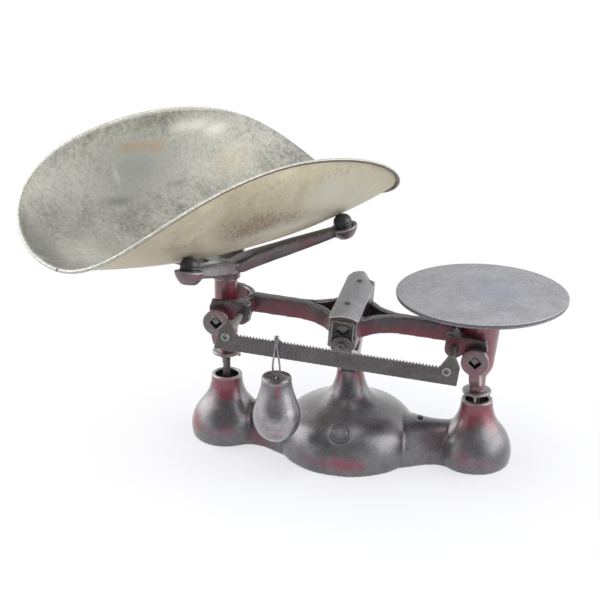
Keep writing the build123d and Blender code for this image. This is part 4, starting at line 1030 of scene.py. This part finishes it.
# Spots of each mark: along, around, width and height in millimetres, then strength.
scoop_marks = {
    "stain": [(-50, 168, 16, 7, 0.8), (-25, 167, 20, 6, 0.8), (-4, 162, 12, 7, 0.9), (96, 120, 34, 20, 0.35)],
    # The shade spots are painted shade.
    "shade": [(-85, 106, 22, 5, 0.5), (10, 114, 14, 4, 0.5), (-222, 42, 20, 40, 0.6), (-232, -10, 14, 30, 0.3),
              (-40, 142, 80, 32, 0.75), (-70, 105, 60, 26, 0.3), (-165, 82, 60, 50, 0.4)],
    # The bright spots are painted light.
    "bright": [(33, 181, 16, 7, 0.6), (60, 178, 20, 8, 0.7), (85, 165, 18, 8, 0.6), (-72, 138, 3, 10, 0.6),
               (-150, 40, 50, 34, 0.5), (-190, 20, 40, 34, 0.35)],
    "speck": [(8, 190, 16, 4, 0.8), (35, 193, 18, 4, 0.9), (60, 187, 14, 4, 0.7), (10, 138, 45, 3, 0.45)],
    "patch": [(-58, -114, 26, 20, 0.9), (-35, -128, 26, 15, 0.8), (6, -124, 30, 11, 0.5),
              (-142, -104, 24, 10, 0.5), (60, -168, 30, 10, 0.4), (-95, -135, 40, 14, 0.35)],
    "green": [(60, -145, 38, 24, 0.7), (120, -120, 40, 30, 0.4), (10, -102, 60, 8, 0.7)],
}
u, v = (np.tile(distance.ravel() / MM, 2) for distance in (along, around))
for mark, spots in scoop_marks.items():
    total = sum(strength * np.exp(-((u - u0) / wide) ** 2 - ((v - v0) / tall) ** 2)
                for u0, v0, wide, tall, strength in spots)
    store(dish, mark, np.clip(total, 0, 1))
place_piece(dish, scoop_sheet, "scoop_body", "scoop_sheet", "scoop")
print("scoop faces:", len(dish.data.polygons))

# %% Rolled rim
turns, curl_steps, roll_radius, rim_gauge = 720, 22, 0.0020, 0.0006
middle_bend, nudge, just_inside = scoop_bend - scoop_gauge / 2, 0.002, 0.985
angle = all_round(turns)
c, s = np.cos(angle), np.sin(angle)
edge, _, _ = scoop_surface(c, s, middle_bend)
inside, _, _ = scoop_surface(just_inside * c, just_inside * s, middle_bend)
forward = unit(np.roll(edge, -1, axis=0) - np.roll(edge, 1, axis=0))
away = unit(scoop_surface(c, s, middle_bend + nudge)[0] - edge)
beyond = np.cross(forward, away)
beyond *= np.sign(np.sum(beyond * (edge - inside), axis=1))[:, None]
curl = np.linspace(0, radians(320), curl_steps)
curl = np.concatenate((curl, curl[::-1]))
reach_in = np.repeat((roll_radius, roll_radius - rim_gauge), curl_steps)
centre = edge + away * roll_radius
rim_points = (centre[:, None, :] - (reach_in * np.cos(curl))[None, :, None] * away[:, None, :]
              + (reach_in * np.sin(curl))[None, :, None] * beyond[:, None, :])
rim = mesh_piece("scoop_rim", grid_shell(rim_points, True))
mean_radius, seam_half, seam_angle = 0.2, 0.0011, pi + 0.046
from_seam = np.abs(angle - seam_angle) * mean_radius
store(rim, "seam", np.repeat((from_seam < seam_half).astype(float), len(curl)))
# The roll's turned-back part is marked for painted shade.
store(rim, "under", np.tile((curl > radians(165)).astype(float), turns))
place_piece(rim, scoop_rim, "scoop_body", "scoop_sheet")
print("rim faces:", len(rim.data.polygons))

# %% [markdown]
# ## Weight plate and poise
# These were turned or cast round, so each is one outline carried round an axis. The plate's rim has
# a rounded top edge, a shallow groove and a darker underside. The poise is a rough cast pear with a
# dished top and a shallow notch in the front of its rim.

# %% Weight plate
plate_top, plate_width, drop = top_of("weight_plate")
R = plate_width / 2
plate_centre = np.array((right_edge[0], 0, plate_top[2]))
outline = rounded([
    (0, 13.1 - drop), (8.05, 13.1 - drop), (8.05, -drop), (23.5, -drop), (23.5, -6.4), (R - 9, -6.4),
    (R - 2.4, -6.2), (R - 0.8, -5.2), (R - 0.3, -4.2), (R - 0.9, -3.3), (R - 0.2, -2.4), (R, -1.3),
    (R - 0.5, -0.35), (R - 1.6, 0), (R - 4.0, -0.12), (R - 12, -0.2), (60, -0.2), (30, -0.2), (0, -0.2)], 0.7)
plate = turned("plate_disc", outline, [plate_centre], 180)
points, normals, _ = mesh_arrays(plate.data)
out = np.hypot(points[:, 0] - plate_centre[0], points[:, 1]) / MM
down = (plate_centre[2] - points[:, 2]) / MM
groove = np.exp(-((down - 1.7) / 0.6) ** 2) + 0.45 * (down > 1.7)
store(plate, "edge", np.clip(1 - np.abs(out - (R - 0.7)), 0, 1) * (down < 1.2))
store(plate, "side", np.clip(groove, 0, 1) * (out > R - 4))
store(plate, "paint", np.where(normals[:, 2] < -0.3, 0.55, -0.4) + 0.3 * (down > 8))
px, _, pz = plate_centre / MM
store(plate, "blue", spot_curve(points, px + 14, 10, pz, (30, 40, 30), 1.0))
place_piece(plate, plate_iron, "plate", "plate_iron", "weight_plate")

# %% Poise
poise_centre, _, _ = top_of("poise_body")
body_outline = [(0, -26), (9.0, -26), (9.0, -76), (12.0, -76), (20.0, -70), (25.6, -60), (27.5, -49),
                (26.2, -40), (22.5, -29), (18.8, -16), (17.2, -7)]
lip_outline = [body_outline[-1], (16.9, -1.4), (16.2, -0.2), (15.3, -0.3), (14.4, -0.9), (12, -1.3), (0, -1.5)]
poise_outline = np.concatenate((rounded(body_outline, 6, 8)[:-1], rounded(lip_outline, 0.6, 4)))
point_gap, sand_depth = 1.4, 0.3
dense = np.concatenate([np.linspace(a, b, max(2, int(np.hypot(*(b - a)) / point_gap)), endpoint=False)
                        for a, b in zip(poise_outline[:-1], poise_outline[1:])] + [poise_outline[-1:]])
poise = turned("poise_casting", dense, [poise_centre], 140)
points, normals, _ = mesh_arrays(poise.data)
points += normals * (sand_depth * MM * sand_waves(points, 11))[:, None]
notch_bearing, notch_width, notch_depth, notch_reach = 0.16, 0.34, 2.4, 7
bearing = np.arctan2(points[:, 0] - poise_centre[0], -(points[:, 1] - poise_centre[1])) - notch_bearing
high = np.clip((points[:, 2] - poise_centre[2]) / MM / notch_reach + 1, 0, 1)
points[:, 2] -= notch_depth * MM * np.exp(-(bearing / notch_width) ** 2) * high
move_points(poise.data, points)
px, py, pz = poise_centre / MM
mark_wear(poise, -0.25, 0.1, 0.3, [
    (px + 5, py - 20, pz - 13, (5, 8, 10), 0.7), (px + 12, py - 25, pz - 57, (7, 9, 7), 1.1),
    (px - 3, py - 26, pz - 60, (14, 8, 8), 0.55), (px - 20, py - 14, pz - 58, 10, 0.5)])
poise_iron = worn_iron("poise_cast_iron", (96, 94, 98), (150, 147, 152), 0.7, (0.26, 0.4), 0.85)
place_piece(poise, poise_iron, "poise", "poise_iron", "poise_body")
print("plate and poise done")

# %% Nodes that keep their CAD shape
finishes = {"fulcrum_knife_edge": edge_steel, "left_bearings": dark_steel, "right_bearings": dark_steel,
            "fulcrum_bearings": edge_steel, "head_bolts": edge_steel, "check_lever_pin": fixing_steel,
            "check_rod_pins": fixing_steel, "poise_loop": wire_steel, "poise_staple": wire_steel,
            "left_check_rod": rod_steel, "right_check_rod": rod_steel, "check_lever": worn_iron("lever_iron")}
for node, finish in finishes.items():
    kept = frame["nodes"][node].data
    kept.materials.clear()
    kept.materials.append(finish)
print("dressed:", len(finishes))

# %% [markdown]
# ## Floor, light and camera
# A plain pale floor and soft light from all round, with a large lamp high on each side. What the
# camera sees past the object is plain white, as on a shop's table, and the floor's own paint shows
# only near the base, where it carries the shadow. Metal mirrors a room that is bright at the sides
# and behind and dimmer where the viewer stands.

# %% Floor
floor_paint = bpy.data.materials.new("floor_paint")
floor_paint.use_nodes = True
tree = floor_paint.node_tree
tree.nodes.remove(tree.nodes["Principled BSDF"])
rays = add("LightPath", {}, tree).outputs
mirrored = maths("MAXIMUM", rays["Is Glossy Ray"], rays["Is Transmission Ray"])
seen = maths("MAXIMUM", rays["Is Camera Ray"], mirrored)
place = add("TexCoord", {}, tree).outputs["Object"]
distance = add("VectorMath", {0: place}, operation="LENGTH").outputs["Value"]
share = maths("MULTIPLY", seen, ramp(distance, 0.14, 0.36, 0.6, 1.0))
matte = add("BsdfDiffuse", {"Color": (0.89, 0.91, 1.0, 1)}, tree).outputs[0]
glow = add("Emission", {"Color": (1, 1, 1, 1), "Strength": 1.0}, tree).outputs[0]
mixed = add("MixShader", {0: share, 1: matte, 2: glow}).outputs[0]
fill(tree.nodes["Material Output"], {"Surface": mixed})
floor = new_object("floor", bpy.data.meshes.new("floor"))
floor.data.from_pydata([(-9, -9, 0), (9, -9, 0), (9, 9, 0), (-9, 9, 0)], [], [(0, 1, 2, 3)])
floor.data.materials.append(floor_paint)

# %% World and lamps
world = bpy.data.worlds.new("studio")
bpy.context.scene.world = world
world.use_nodes = True
tree = world.node_tree
rays = add("LightPath", {}, tree).outputs
seen = maths("MAXIMUM", rays["Is Camera Ray"], rays["Is Transmission Ray"])
heading = add("SeparateXYZ", {0: add("TexCoord", {}, tree).outputs["Generated"]}).outputs
side_glow = ramp(maths("ABSOLUTE", heading["X"]), 0.45, 0.95, 0.0, 1.3)
room = maths("ADD", ramp(heading["Y"], -0.85, 0.1, 0.16, 1.0), side_glow)
glossy = add("Mix", {0: rays["Is Glossy Ray"], 2: 0.57, 3: room}).outputs[0]
strength = add("Mix", {0: seen, 2: glossy, 3: 1.0}).outputs[0]
fill(tree.nodes["Background"], {"Color": (1, 1, 1, 1), "Strength": strength})
lamp_aim = Vector((0, 0, 0.15))
lamps = (("left_box", (-1.5, 0.2, 1.1), 1.8, 20), ("right_box", (1.5, 0.0, 1.1), 1.8, 19),
         ("top_box", (-0.2, -0.4, 2.1), 1.2, 10))
for name, corner, size, watts in lamps:
    light = bpy.data.lights.new(name, "AREA")
    light.energy, light.size = watts, size
    lamp = new_object(name, light)
    lamp.location = corner
    lamp.rotation_euler = (lamp_aim - Vector(corner)).to_track_quat("-Z", "Y").to_euler()
print("lamps:", len(bpy.data.lights))

# %% Camera
camera_azimuth, camera_elevation, camera_roll = radians(12.5), radians(21.35), radians(0.58)
camera_distance, camera_aim = 1.71127, Vector((-0.06127, 0, 0.18087))
focal_pixels, picture_pixels, sensor = 1471.8, 600, 36
back = Vector((sin(camera_azimuth) * cos(camera_elevation), -cos(camera_azimuth) * cos(camera_elevation),
               sin(camera_elevation)))
camera = new_object("camera", bpy.data.cameras.new("camera"))
camera.data.sensor_width = sensor
camera.data.lens = sensor * focal_pixels / picture_pixels
camera.location = camera_aim + back * camera_distance
camera.rotation_mode = "QUATERNION"
roll = Matrix.Rotation(camera_roll, 3, "Z").to_quaternion()
camera.rotation_quaternion = (-back).to_track_quat("-Z", "Y") @ roll
bpy.context.scene.camera = camera
bpy.context.scene.view_settings.view_transform = "Standard"
print("camera", [round(value, 3) for value in camera.location])
